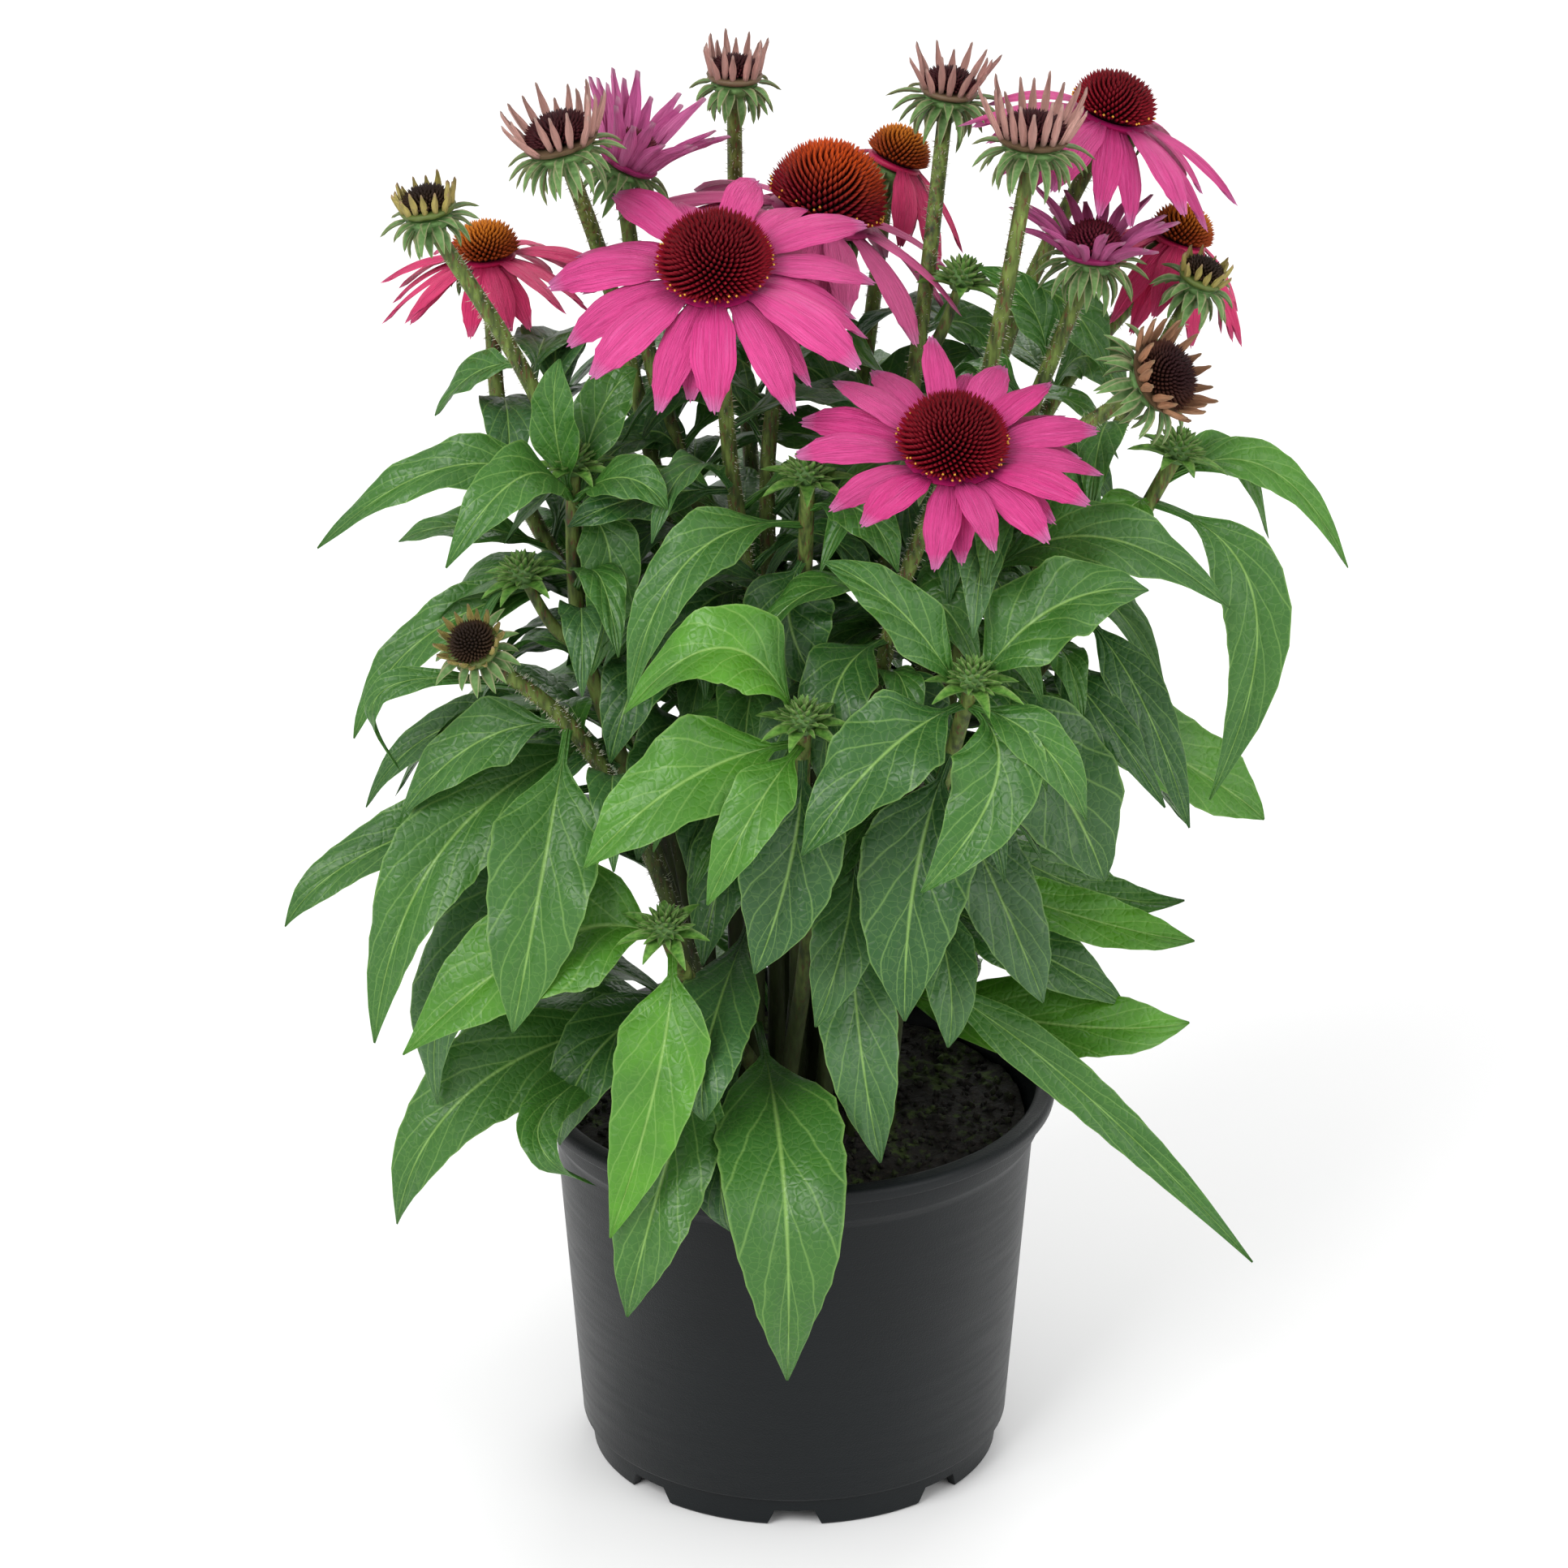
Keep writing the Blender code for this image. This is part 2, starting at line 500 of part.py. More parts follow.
def is_bare(head, place, bearing):
    """Whether a head has no ray at this bearing, where it has lost some."""
    if not head.bare:
        return False
    outward = place.to_3x3() @ Vector((math.cos(bearing), math.sin(bearing), 0))
    degrees = math.degrees(math.atan2(outward.y, outward.x)) % 360
    return head.bare[0] < degrees < head.bare[1]


def cone_part(head, place):
    """The cone of a head, standing just clear of the hub."""
    radius, height = head.cone
    lifted = place @ Matrix.Translation((0, 0, 0.5 + HUB_THICKNESS))
    if radius > 13:
        return spiked_dome(lifted, radius - 1.6, height, 6, 16, 2.4)
    if radius > 10:
        return spiked_dome(lifted, radius - 1.4, height, 4, 12, 2.1)
    return spiked_dome(lifted, radius - 1.2, height, 3, 10, 1.8)


def bract_cup(place, low_radius, high_radius, depth, bracts):
    """A cup with whorls of pointed bracts drawn out of its rim, as points and faces."""
    whorls, count, length, pitch = bracts
    sides = count * 2
    rings = [(-depth, low_radius, 0, 0)]
    for whorl in range(whorls):
        share = (whorl + 1) / whorls
        radius = low_radius + (high_radius - low_radius) * share
        height = -depth * (1 - share)
        slope = math.radians(pitch - 30 * (whorls - 1 - whorl))
        rings.append((height - 1.4, radius * 0.95, length * math.cos(slope), length * math.sin(slope)))
        rings.append((height, radius * 0.92, 0, 0))
    points = []
    for number, (height, radius, reach, rise) in enumerate(rings):
        for step in range(sides):
            angle = math.tau * step / sides
            pointed = (step + number // 2) % 2
            distance = radius + reach * pointed
            points.append(Vector((distance * math.cos(angle), distance * math.sin(angle), height + rise * pointed)))
    return [place @ point for point in points], ring_faces(len(rings), sides)


def cup_part(head, place):
    """The cup under a head with its bracts."""
    radius = hub_radius(head)
    lowered = place @ Matrix.Translation((0, 0, -0.8))
    return bract_cup(lowered, STEM_RADIUS * 1.2, radius * 0.9, CUP_DEPTH, head.bracts)


def tip_parts(point, below):
    """A shut green bud in its rosette of small leaves, at the tip of a shoot."""
    axis = ((point - below).normalized() + UP).normalized()
    place = Matrix.Translation(point) @ axis.to_track_quat("Z", "Y").to_matrix().to_4x4()
    return [spiked_dome(place @ Matrix.Translation((0, 0, -2)), 6, 9, 3, 8, 3.6, 0.7, 13)]


class Space:
    """What has been placed so far, so that the next piece can be bent clear of it."""

    def __init__(self):
        self.items = []

    def add(self, node, part):
        self.items.append((node, *self.bounds(part[0]), BVHTree.FromPolygons(*part)))

    def add_object(self, obj):
        mesh = obj.data
        points = [corner.co / MM for corner in mesh.vertices]
        self.add(obj.name, (points, [tuple(face.vertices) for face in mesh.polygons]))

    def bounds(self, points):
        low = [min(point[axis] for point in points) for axis in range(3)]
        high = [max(point[axis] for point in points) for axis in range(3)]
        return low, high

    def is_clear(self, node, part):
        """Whether a part of this node crosses nothing that belongs to another node."""
        low, high = self.bounds(part[0])
        tree = None
        for other, other_low, other_high, other_tree in self.items:
            if other == node:
                continue
            if any(low[a] > other_high[a] or high[a] < other_low[a] for a in range(3)):
                continue
            tree = tree or BVHTree.FromPolygons(*part)
            if tree.overlap(other_tree):
                return False
        return True


def shifts(step, count):
    """No shift, then shifts to and fro of growing size."""
    yield 0
    for index in range(1, count + 1):
        yield -step * index
        yield step * index


def place_heads(space):
    """The matrix of every head, each moved along the line of sight until it is clear."""
    places = {}
    for head in HEADS:
        for shift in shifts(4, 12):
            place = head_place(head, shift)
            parts = [rays_part(head, place), cone_part(head, place), cup_part(head, place)]
            if all(space.is_clear("head " + head.name, part) for part in parts):
                break
        places[head.name] = place
        for part in parts[:-1]:
            space.add("head " + head.name, part)
        space.add("stem_" + head.name, parts[-1])
    return places


def stem_radii(path):
    """A stem is thickest at the soil and thins a little on the way up."""
    last = len(path) - 1
    return [STEM_RADIUS * (1.12 - 0.2 * index / last) for index in range(last + 1)]


def place_stems(space, places):
    """The path of every stem from below the soil to its top, bent clear of what is there."""
    spots = []
    count = len(STEMS) + SPARE_SPOTS
    for index in range(count):
        reach = CROWN_RADIUS * math.sqrt((index + 0.5) / count)
        angle = index * GOLDEN_ANGLE
        spots.append(Vector((reach * math.cos(angle), reach * math.sin(angle), SOIL_TOP)))
    paths = {}
    for stem in sorted(STEMS, key=lambda stem: stem.way[-1][2]):
        low_end = seen(*stem.way[-1])
        wanted = Vector((low_end.x * 0.45, low_end.y * 0.6 + 4, SOIL_TOP))
        spots.sort(key=lambda spot: (spot - wanted).length)
        tries = ((spot, shift) for spot in spots for shift in shifts(4, 8))
        for spot, shift in tries:
            path = stem_path(stem, places, spot, shift)
            parts = branch_parts(stem, path, stem.name in places)
            parts.append(tube(path, [radius + CLEARANCE for radius in stem_radii(path)]))
            if all(space.is_clear("stem_" + stem.name, part) for part in parts):
                break
        spots.remove(spot)
        paths[stem.name] = path
        space.add("stem_" + stem.name, tube(path, stem_radii(path)))
        for part in branch_parts(stem, path, stem.name in places):
            space.add("stem_" + stem.name, part)
    return paths


def stem_path(stem, places, spot, shift):
    """A stem's path from its foot below a spot on the soil up to its head or tip."""
    points = [spot - UP * STEM_SINK, spot + UP * 12]
    points += [seen(column, row, back + shift) for column, row, back in reversed(stem.way)]
    if stem.name in places:
        place = places[stem.name]
        points += [place @ Vector((0, 0, -CUP_DEPTH - 12)), place @ Vector((0, 0, -CUP_DEPTH * 0.5))]
    else:
        points.append(seen(*stem.tips[0]))
    return smooth_path(points, STEM_STEPS)


def branch_parts(stem, path, has_head):
    """The shut buds of a stem, with the side branches that carry them."""
    parts = []
    for number, tip in enumerate(stem.tips):
        point = seen(*tip)
        below = path[-2]
        if has_head or number:
            fork = nearest_on(path, tip[0], tip[1] + 110)
            below = (point + fork) / 2 - UP * 6
            radii = [STEM_RADIUS * share for share in (0.8, 0.7, 0.6)]
            parts.append(tube([fork, below, point], radii))
        parts += tip_parts(point, below)
    return parts


def points_on(path, spacing=3):
    """Points along the straight pieces of a path."""
    points = []
    for start, end in zip(path, path[1:]):
        count = max(1, round((end - start).length / spacing))
        points += [start.lerp(end, step / count) for step in range(count)]
    return points


def nearest_on(path, column, row):
    """The point of a stem that the photograph shows nearest a pixel, clear of its two ends."""
    wanted = Vector((column, row))
    bare = [point for point in points_on(path) if SOIL_TOP + 7 < point.z < path[-1].z - TOP_BARE]
    return min(bare, key=lambda point: (pixel_of(point) - wanted).length)


def leaf_tries(leaf, paths):
    """Ways to place a leaf, the nearest to the photograph first."""
    others = sorted(
        (name for name in paths if name != leaf.stem),
        key=lambda name: (pixel_of(nearest_on(paths[name], *leaf.root)) - Vector(leaf.root)).length,
    )
    for name in (leaf.stem, *others[:5]):
        for size in (1, 0.85, 0.7):
            for slide in (0, -60, 60, -120, 120):
                root = nearest_on(paths[name], leaf.root[0], leaf.root[1] + slide)
                for shift in shifts(5, 7):
                    middle = seen(*leaf.middle, leaf.back[0] + shift * 0.7)
                    tip = seen(*leaf.tip, leaf.back[1] + shift)
                    width = leaf.width * LEAF_SPREAD * size * VIEW_DISTANCE / VIEW_FOCUS
                    facing = leaf_facing(root, tip, leaf.roll)
                    for lift in (0, 7, -7):
                        yield name, root, middle + UP * lift, tip, width, facing


def leaf_facing(root, tip, roll):
    """The way a leaf of the photograph faces: up and towards the camera, then rolled."""
    facing = UP * 0.5 + view_axes()[3] * 0.8
    return Matrix.Rotation(math.radians(roll), 3, (tip - root).normalized()) @ facing


def place_leaves(space, paths):
    """Every leaf of the photograph, front ones first, each bent clear of what is there."""
    placed = []
    for leaf in sorted(LEAVES, key=lambda leaf: leaf.back[1]):
        for name, *curve in leaf_tries(leaf, paths):
            if space.is_clear("stem_" + name, leaf_blade(*curve, extra=CLEARANCE)):
                placed.append((name, curve))
                space.add("stem_" + name, leaf_blade(*curve))
                break
    return placed


def fill_leaf(root, bearing, rise, length):
    """The middle and tip of a leaf that arches out from its root and droops."""
    out = Vector((math.cos(bearing), math.sin(bearing), 0))
    middle = root + out * (length * 0.5) + UP * (length * rise)
    tip = root + out * (length * 0.92) + UP * (length * (rise * 0.6 - 0.32))
    return middle, tip


def place_fills(space, paths):
    """Leaves by rule on the sides and back, which the photograph doesn't show."""
    chance = random.Random("fill leaves")
    placed = []
    for stem in STEMS:
        if not stem.fills:
            continue
        node = "stem_" + stem.name
        gone = 0
        turn = chance.uniform(0, math.tau)
        points = points_on(paths[stem.name])
        top = points[-1].z - 78
        for before, root in zip(points, points[1:]):
            gone += (root - before).length
            if root.z < SOIL_TOP + 16 or root.z > top or gone < FILL_SPACING:
                continue
            gone = 0
            turn += GOLDEN_ANGLE
            share = (root.z - SOIL_TOP) / 300
            length = FILL_LENGTH * (1.12 - 0.4 * share) * chance.uniform(0.85, 1.1)
            width = FILL_WIDTH * (1.1 - 0.3 * share) * chance.uniform(0.85, 1.1)
            rise = chance.uniform(0.05, 0.3)
            for size, swing in ((size, swing) for size in (1, 0.75) for swing in shifts(0.3, 8)):
                middle, tip = fill_leaf(root, turn + swing, rise, length * size)
                outward = Vector((tip.x - root.x, tip.y - root.y, 0)).normalized()
                curve = (root, middle, tip, width * size, UP + outward * 0.4)
                if tip.y > FILL_FRONT and space.is_clear(node, leaf_blade(*curve, CLEARANCE)):
                    placed.append((stem.name, curve))
                    space.add(node, leaf_blade(*curve))
                    break
    return placed


def bmesh_object(name, shape, material, collection):
    """An object from a bmesh in metres, with its faces turned outwards."""
    bmesh.ops.recalc_face_normals(shape, faces=shape.faces)
    mesh = bpy.data.meshes.new(name)
    shape.to_mesh(mesh)
    shape.free()
    mesh.materials.append(material)
    obj = bpy.data.objects.new(name, mesh)
    obj.display_type = "WIRE" if collection.hide_render else "TEXTURED"
    collection.objects.link(obj)
    return obj


def part_object(name, part, material, collection):
    """An object from points in millimetres and faces."""
    points, faces = part
    shape = bmesh.new()
    corners = [shape.verts.new(point * MM) for point in points]
    for face in faces:
        shape.faces.new([corners[index] for index in face])
    return bmesh_object(name, shape, material, collection)


def apply_boolean(obj, operation, tools):
    """Joins or cuts the tools, a collection, with an object, and removes them."""
    modifier = obj.modifiers.new(operation.lower(), "BOOLEAN")
    modifier.operation = operation
    modifier.operand_type = "COLLECTION"
    modifier.collection = tools
    modifier.solver = "MANIFOLD"
    bpy.context.view_layer.update()
    graph = bpy.context.evaluated_depsgraph_get()
    joined = bpy.data.meshes.new_from_object(obj.evaluated_get(graph))
    obj.modifiers.clear()
    old = obj.data
    obj.data = joined
    bpy.data.meshes.remove(old)
    for tool in list(tools.objects):
        mesh = tool.data
        bpy.data.objects.remove(tool)
        bpy.data.meshes.remove(mesh)


def flatten(mesh):
    """Merges the doubled corners and the slivers that a Boolean leaves in flat faces."""
    shape = bmesh.new()
    shape.from_mesh(mesh)
    bmesh.ops.remove_doubles(shape, verts=shape.verts, dist=MERGE_DISTANCE)
    flat = math.radians(FLAT_ANGLE)
    bmesh.ops.dissolve_limit(shape, angle_limit=flat, verts=shape.verts, edges=shape.edges)
    bmesh.ops.triangulate(shape, faces=shape.faces)
    shape.to_mesh(mesh)
    shape.free()


def tools_collection():
    """The collection that holds cutters and repeats until a Boolean takes them in."""
    tools = bpy.data.collections.new("tools")
    tools.hide_render = True
    bpy.context.scene.collection.children.link(tools)
    return tools


def fused(name, parts, material, collection, tools):
    """One closed object from parts that overlap."""
    obj = part_object(name, parts[0], material, collection)
    for number, part in enumerate(parts[1:]):
        part_object(f"{name}_part_{number}", part, material, tools)
    if parts[1:]:
        apply_boolean(obj, "UNION", tools)
        flatten(obj.data)
    return obj


def plain_material(name, colour, roughness):
    """A plain finish, with the colour as linear red, green and blue."""
    material = bpy.data.materials.new(name)
    material.use_nodes = True
    shader = material.node_tree.nodes["Principled BSDF"]
    shader.inputs["Base Color"].default_value = (*colour, 1)
    shader.inputs["Roughness"].default_value = roughness
    return material


def pot_outline():
    """The pot's section at +X, from its inner floor up, over the lip and down to the foot."""
    under_lip = POT_HEIGHT - POT_LIP_HEIGHT
    floor_top = POT_FLOOR + POT_WALL
    return (
        (0, floor_top),
        (POT_BODY_FOOT_RADIUS - POT_WALL, floor_top),
        (POT_BODY_TOP_RADIUS - POT_WALL, POT_COLLAR_FOOT + 1),
        (POT_COLLAR_RADIUS - POT_WALL, POT_COLLAR_FOOT + 5),
        (POT_COLLAR_RADIUS - POT_WALL + 0.6, POT_HEIGHT - 2),
        (POT_COLLAR_RADIUS + 0.6, POT_HEIGHT),
        (POT_LIP_RADIUS, POT_HEIGHT - 1.5),
        (POT_LIP_RADIUS - 0.4, under_lip),
        (POT_COLLAR_RADIUS + 0.4, under_lip),
        (POT_COLLAR_RADIUS, POT_COLLAR_FOOT + 4),
        (POT_BODY_TOP_RADIUS, POT_COLLAR_FOOT),
        (POT_BODY_FOOT_RADIUS, POT_SEAM_HEIGHT),
        (POT_FOOT_RADIUS, POT_SEAM_HEIGHT - 1.5),
        (POT_FOOT_RADIUS - 1.5, 0),
        (POT_FOOT_RADIUS - 5, 0),
        (POT_FOOT_RADIUS - 6, POT_FLOOR),
        (POT_BOSS_RADIUS + 1, POT_FLOOR),
        (POT_BOSS_RADIUS, 0),
        (0, 0),
    )


def turned_object(name, outline, sides, material, collection):
    """A section turned about the Z axis by a Screw, with its two ends on the axis."""
    mesh = bpy.data.meshes.new(name)
    points = [(radius * MM, 0, height * MM) for radius, height in reversed(outline)]
    mesh.from_pydata(points, [(i, i + 1) for i in range(len(points) - 1)], [])
    mesh.materials.append(material)
    obj = bpy.data.objects.new(name, mesh)
    collection.objects.link(obj)
    screw = obj.modifiers.new("turn", "SCREW")
    screw.steps = screw.render_steps = sides
    screw.use_merge_vertices = True
    screw.merge_threshold = MERGE_DISTANCE
    screw.use_normal_calculate = True
    return obj


def gap_cutter(name, bearing, material, tools):
    """The wedge that cuts one gap through the ring of the foot, narrower at its top."""
    shape = bmesh.new()
    inner = POT_BOSS_RADIUS + 8
    size = Vector((POT_LIP_RADIUS - inner, FOOT_GAP_WIDTH, FOOT_GAP_HEIGHT * 2)) * MM
    bmesh.ops.create_cube(shape, size=1, matrix=Matrix.Diagonal(size).to_4x4())
    for corner in shape.verts:
        corner.co.x += (POT_LIP_RADIUS + inner) / 2 * MM
        corner.co.y *= FOOT_GAP_TAPER if corner.co.z > 0 else 2 - FOOT_GAP_TAPER
    bmesh.ops.rotate(shape, verts=shape.verts, matrix=Matrix.Rotation(bearing, 3, "Z"))
    return bmesh_object(name, shape, material, tools)


def drain_cutter(name, bearing, material, tools):
    """The cylinder that cuts one drain hole through the pot's floor."""
    shape = bmesh.new()
    place = Vector((math.cos(bearing), math.sin(bearing), 0)) * DRAIN_HOLE_PLACE
    place.z = POT_FLOOR
    radius = DRAIN_HOLE_RADIUS * MM
    bmesh.ops.create_cone(
        shape, cap_ends=True, segments=8, radius1=radius, radius2=radius, depth=POT_FLOOR * MM,
        matrix=Matrix.Translation(place * MM),
    )
    return bmesh_object(name, shape, material, tools)


def build_pot(collection, tools):
    """The pot with its lip, collar, drain holes and a foot cut into lobes."""
    material = plain_material("pot_plastic", (0.027, 0.030, 0.032), 0.42)
    pot = turned_object("pot", pot_outline(), POT_SIDES, material, collection)
    for index in range(FOOT_GAPS):
        bearing = math.radians(-90) + math.tau * index / FOOT_GAPS
        gap_cutter(f"gap_{index}", bearing, material, tools)
    for index in range(DRAIN_HOLES):
        bearing = math.tau * (index + 0.5) / DRAIN_HOLES
        drain_cutter(f"drain_{index}", bearing, material, tools)
    apply_boolean(pot, "DIFFERENCE", tools)
    return pot


def soil_height(x, y):
    """The soil's surface, which is uneven and a little higher round the crown."""
    mound = 3 * math.exp(-((x * x + y * y) / 1400))
    return SOIL_TOP + mound + 0.9 * math.sin(x * 0.13 + 1) * math.cos(y * 0.11) + 0.5 * math.sin(x * 0.31 - y * 0.27)


def soil_part():
    """The soil as a block that fills the pot, with an uneven top."""
    body_rise = (SOIL_TOP - POT_FLOOR) / (POT_COLLAR_FOOT - POT_SEAM_HEIGHT)
    reach = POT_BODY_FOOT_RADIUS + (POT_BODY_TOP_RADIUS - POT_BODY_FOOT_RADIUS) * min(body_rise, 1)
    top_radius = reach - POT_WALL - SOIL_GAP
    floor_radius = POT_BODY_FOOT_RADIUS - POT_WALL - SOIL_GAP - 0.4
    floor = POT_FLOOR + POT_WALL + SOIL_GAP
    points = [Vector((0, 0, soil_height(0, 0)))]
    for ring in range(1, SOIL_RINGS + 1):
        radius = (top_radius - 0.6) * ring / SOIL_RINGS
        for spoke in range(SOIL_SPOKES):
            angle = math.tau * spoke / SOIL_SPOKES
            x, y = radius * math.cos(angle), radius * math.sin(angle)
            points.append(Vector((x, y, soil_height(x, y))))
    for spoke in range(SOIL_SPOKES):
        angle = math.tau * spoke / SOIL_SPOKES
        points.append(Vector((floor_radius * math.cos(angle), floor_radius * math.sin(angle), floor)))
    points.append(Vector((0, 0, floor)))
    faces = []
    end = len(points) - 1
    for spoke in range(SOIL_SPOKES):
        following = (spoke + 1) % SOIL_SPOKES
        faces.append((0, 1 + spoke, 1 + following))
        for ring in range(SOIL_RINGS):
            low = 1 + ring * SOIL_SPOKES
            high = low + SOIL_SPOKES
            faces.append((low + spoke, high + spoke, high + following))
            faces.append((low + spoke, high + following, low + following))
        last = 1 + SOIL_RINGS * SOIL_SPOKES
        faces.append((end, last + following, last + spoke))
    return points, faces


def build_soil(paths, collection, tools):
    """The soil with a plain hole round each stem."""
    material = plain_material("soil_peat", (0.012, 0.009, 0.007), 0.95)
    soil = part_object("soil", soil_part(), material, collection)
    for name, path in paths.items():
        along = (path[1] - path[0]).normalized()
        ends = [path[0] - along * 0.6, path[0] + along * (STEM_SINK + 16)]
        radius = stem_radii(path)[0] / math.cos(math.pi / STEM_SIDES) + HOLE_GAP
        part_object("hole_" + name, tube(ends, (radius, radius)), material, tools)
    apply_boolean(soil, "DIFFERENCE", tools)
    flatten(soil.data)
    return soil


def build_greens(places, paths, leaves, collection, tools):
    """Each stem with its leaves, cup, bracts and shut buds."""
    for stem in STEMS:
        material = plain_material("green_" + stem.name, (0.075, 0.16, 0.035), 0.6)
        path = paths[stem.name]
        parts = [tube(path, stem_radii(path))]
        for head in HEADS:
            if head.name == stem.name:
                parts.append(cup_part(head, places[head.name]))
        parts += branch_parts(stem, path, stem.name in places)
        for name, curve in leaves:
            if name == stem.name:
                parts.append(leaf_blade(*curve))
        fused("stem_" + stem.name, parts, material, collection, tools)


def build_heads(places, collection):
    """The rays and the cone of every head."""
    for head in HEADS:
        pink = plain_material("rays_" + head.name, (0.62, 0.055, 0.25), 0.5)
        dark = plain_material("cone_" + head.name, (0.16, 0.01, 0.015), 0.55)
        place = places[head.name]
        part_object("rays_" + head.name, rays_part(head, place), pink, collection)
        part_object("cone_" + head.name, cone_part(head, place), dark, collection)


def main():
    for obj in list(bpy.data.objects):
        bpy.data.objects.remove(obj)
    collection = bpy.data.collections.new("coneflower_plant")
    bpy.context.scene.collection.children.link(collection)
    tools = tools_collection()
    space = Space()
    space.add_object(build_pot(collection, tools))
    places = place_heads(space)
    paths = place_stems(space, places)
    space.add("soil", soil_part())
    leaves = place_leaves(space, paths)
    leaves += place_fills(space, paths)
    build_soil(paths, collection, tools)
    build_greens(places, paths, leaves, collection, tools)
    build_heads(places, collection)
    bpy.data.collections.remove(tools)


main()
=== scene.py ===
"""The looks of a purple coneflower plant in its black nursery pot.

The plan and the placing functions repeat the model's own, so that every fine leaf, stem and
head lies where its solid does. Lengths are millimetres until a mesh is made.
"""

import json
import math
import random
from collections import namedtuple

import bmesh
import bpy
import mathutils
import numpy as np
from mathutils import Matrix, Vector
from mathutils.bvhtree import BVHTree

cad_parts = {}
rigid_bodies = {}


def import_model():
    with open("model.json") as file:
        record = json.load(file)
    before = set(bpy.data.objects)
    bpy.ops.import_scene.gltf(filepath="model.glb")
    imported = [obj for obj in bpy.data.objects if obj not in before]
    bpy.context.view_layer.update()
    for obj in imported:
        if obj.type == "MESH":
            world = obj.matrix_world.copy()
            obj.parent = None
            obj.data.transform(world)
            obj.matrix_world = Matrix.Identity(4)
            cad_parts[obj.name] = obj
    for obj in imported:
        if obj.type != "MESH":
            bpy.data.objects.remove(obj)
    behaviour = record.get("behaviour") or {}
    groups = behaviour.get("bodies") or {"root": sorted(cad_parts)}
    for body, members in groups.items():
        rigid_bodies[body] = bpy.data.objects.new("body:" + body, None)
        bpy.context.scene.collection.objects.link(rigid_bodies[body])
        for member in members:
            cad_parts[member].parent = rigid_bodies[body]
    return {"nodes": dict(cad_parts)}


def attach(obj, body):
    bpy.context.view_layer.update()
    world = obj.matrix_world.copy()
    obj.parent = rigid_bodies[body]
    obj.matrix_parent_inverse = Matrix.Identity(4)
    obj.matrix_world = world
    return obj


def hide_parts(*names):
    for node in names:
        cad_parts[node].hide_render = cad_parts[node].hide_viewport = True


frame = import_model()

MM = 0.001
UP = Vector((0, 0, 1))
GOLDEN_ANGLE = math.radians(137.508)

# The camera of the photograph
VIEW_CENTRE = 966
VIEW_DISTANCE = 2550
VIEW_FOCUS = 8805
VIEW_ELEVATION = math.radians(23.8)
VIEW_AIM = Vector((-3.8, 0, 260.7))

# The pot
POT_HEIGHT = 145
POT_LIP_RADIUS = 95
POT_LIP_HEIGHT = 5.5
POT_COLLAR_RADIUS = 89.5
POT_COLLAR_FOOT = 127
POT_BODY_TOP_RADIUS = 87
POT_BODY_FOOT_RADIUS = 78
POT_SEAM_HEIGHT = 12
POT_FOOT_RADIUS = 75.5
POT_WALL = 2
POT_FLOOR = 9
POT_BOSS_RADIUS = 9
FOOT_GAPS = 8
FOOT_GAP_WIDTH = 20
FOOT_GAP_HEIGHT = 6.5
FOOT_GAP_TAPER = 0.72
DRAIN_HOLES = 4
DRAIN_HOLE_RADIUS = 5
DRAIN_HOLE_PLACE = 48

# The soil
SOIL_TOP = 131
SOIL_RINGS = 4
SOIL_SPOKES = 16
SOIL_GAP = 0.25
CROWN_RADIUS = 36
SPARE_SPOTS = 5
STEM_SINK = 26

# Stems, leaves and bracts
STEM_RADIUS = 3.0
STEM_STEPS = 5
STEM_SIDES = 5
TOP_BARE = 9
LEAF_RIB = 1.5
LEAF_FOLD = 0.22
LEAF_WAVE = 0.10
PETIOLE_WIDTH = 3.6
FILL_SPACING = 54
LEAF_SPREAD = 1.2
SMALL_LEAF = 28
LARGE_LEAF = 38
FILL_LENGTH = 104
FILL_WIDTH = 32
FILL_FRONT = -26
CLEARANCE = 0.5

# Heads
HUB_THICKNESS = 2
RAY_KEEL = 1.0
RAY_NOTCH = 2
CUP_DEPTH = 9

# Rows along a leaf: how far along it, its share of the full half width, and the edge wave
LEAF_ROWS = (
    (0.00, 0.00, 0.0),
    (0.18, 0.00, 0.0),
    (0.38, 1.00, 1.0),
    (0.55, 0.86, -1.0),
    (0.76, 0.58, 1.0),
    (1.00, 0.00, 0.0),
)
MIDDLING_LEAF_ROWS = (
    (0.00, 0.00, 0.0),
    (0.20, 0.06, 0.0),
    (0.44, 1.00, 1.0),
    (0.72, 0.66, -1.0),
    (1.00, 0.00, 0.0),
)
SMALL_LEAF_ROWS = ((0.00, 0.00, 0.0), (0.38, 1.00, 0.8), (0.68, 0.68, -1.0), (1.00, 0.00, 0.0))
# Rows along a ray petal: how far along it, and its share of the full half width
RAY_ROWS = ((0.32, 0.90), (0.72, 1.00), (1.00, 0.52))
SMALL_RAY_ROWS = ((0.45, 1.00), (1.00, 0.56))
BUD_RAY_ROWS = ((0.45, 1.00), (1.00, 0.45))

# Each head: where its base is in the photograph and how far behind the pot's axis, which way
# it leans (degrees from upright, towards a bearing with 0 right and -90 at the viewer), the
# radius and height of its cone, its rays with their pitch in degrees at the root and at the
# tip, and its bracts as whorls, bracts in a whorl, length and pitch.
Head = namedtuple(
    "Head",
    "name base back lean bearing cone rays ray_length ray_width pitch bracts bare",
    defaults=(None,),
)
OPEN_BRACTS = (1, 6, 9, -62)
BUD_BRACTS = (2, 7, 14, -14)
SMALL_BRACTS = (2, 6, 11, -14)

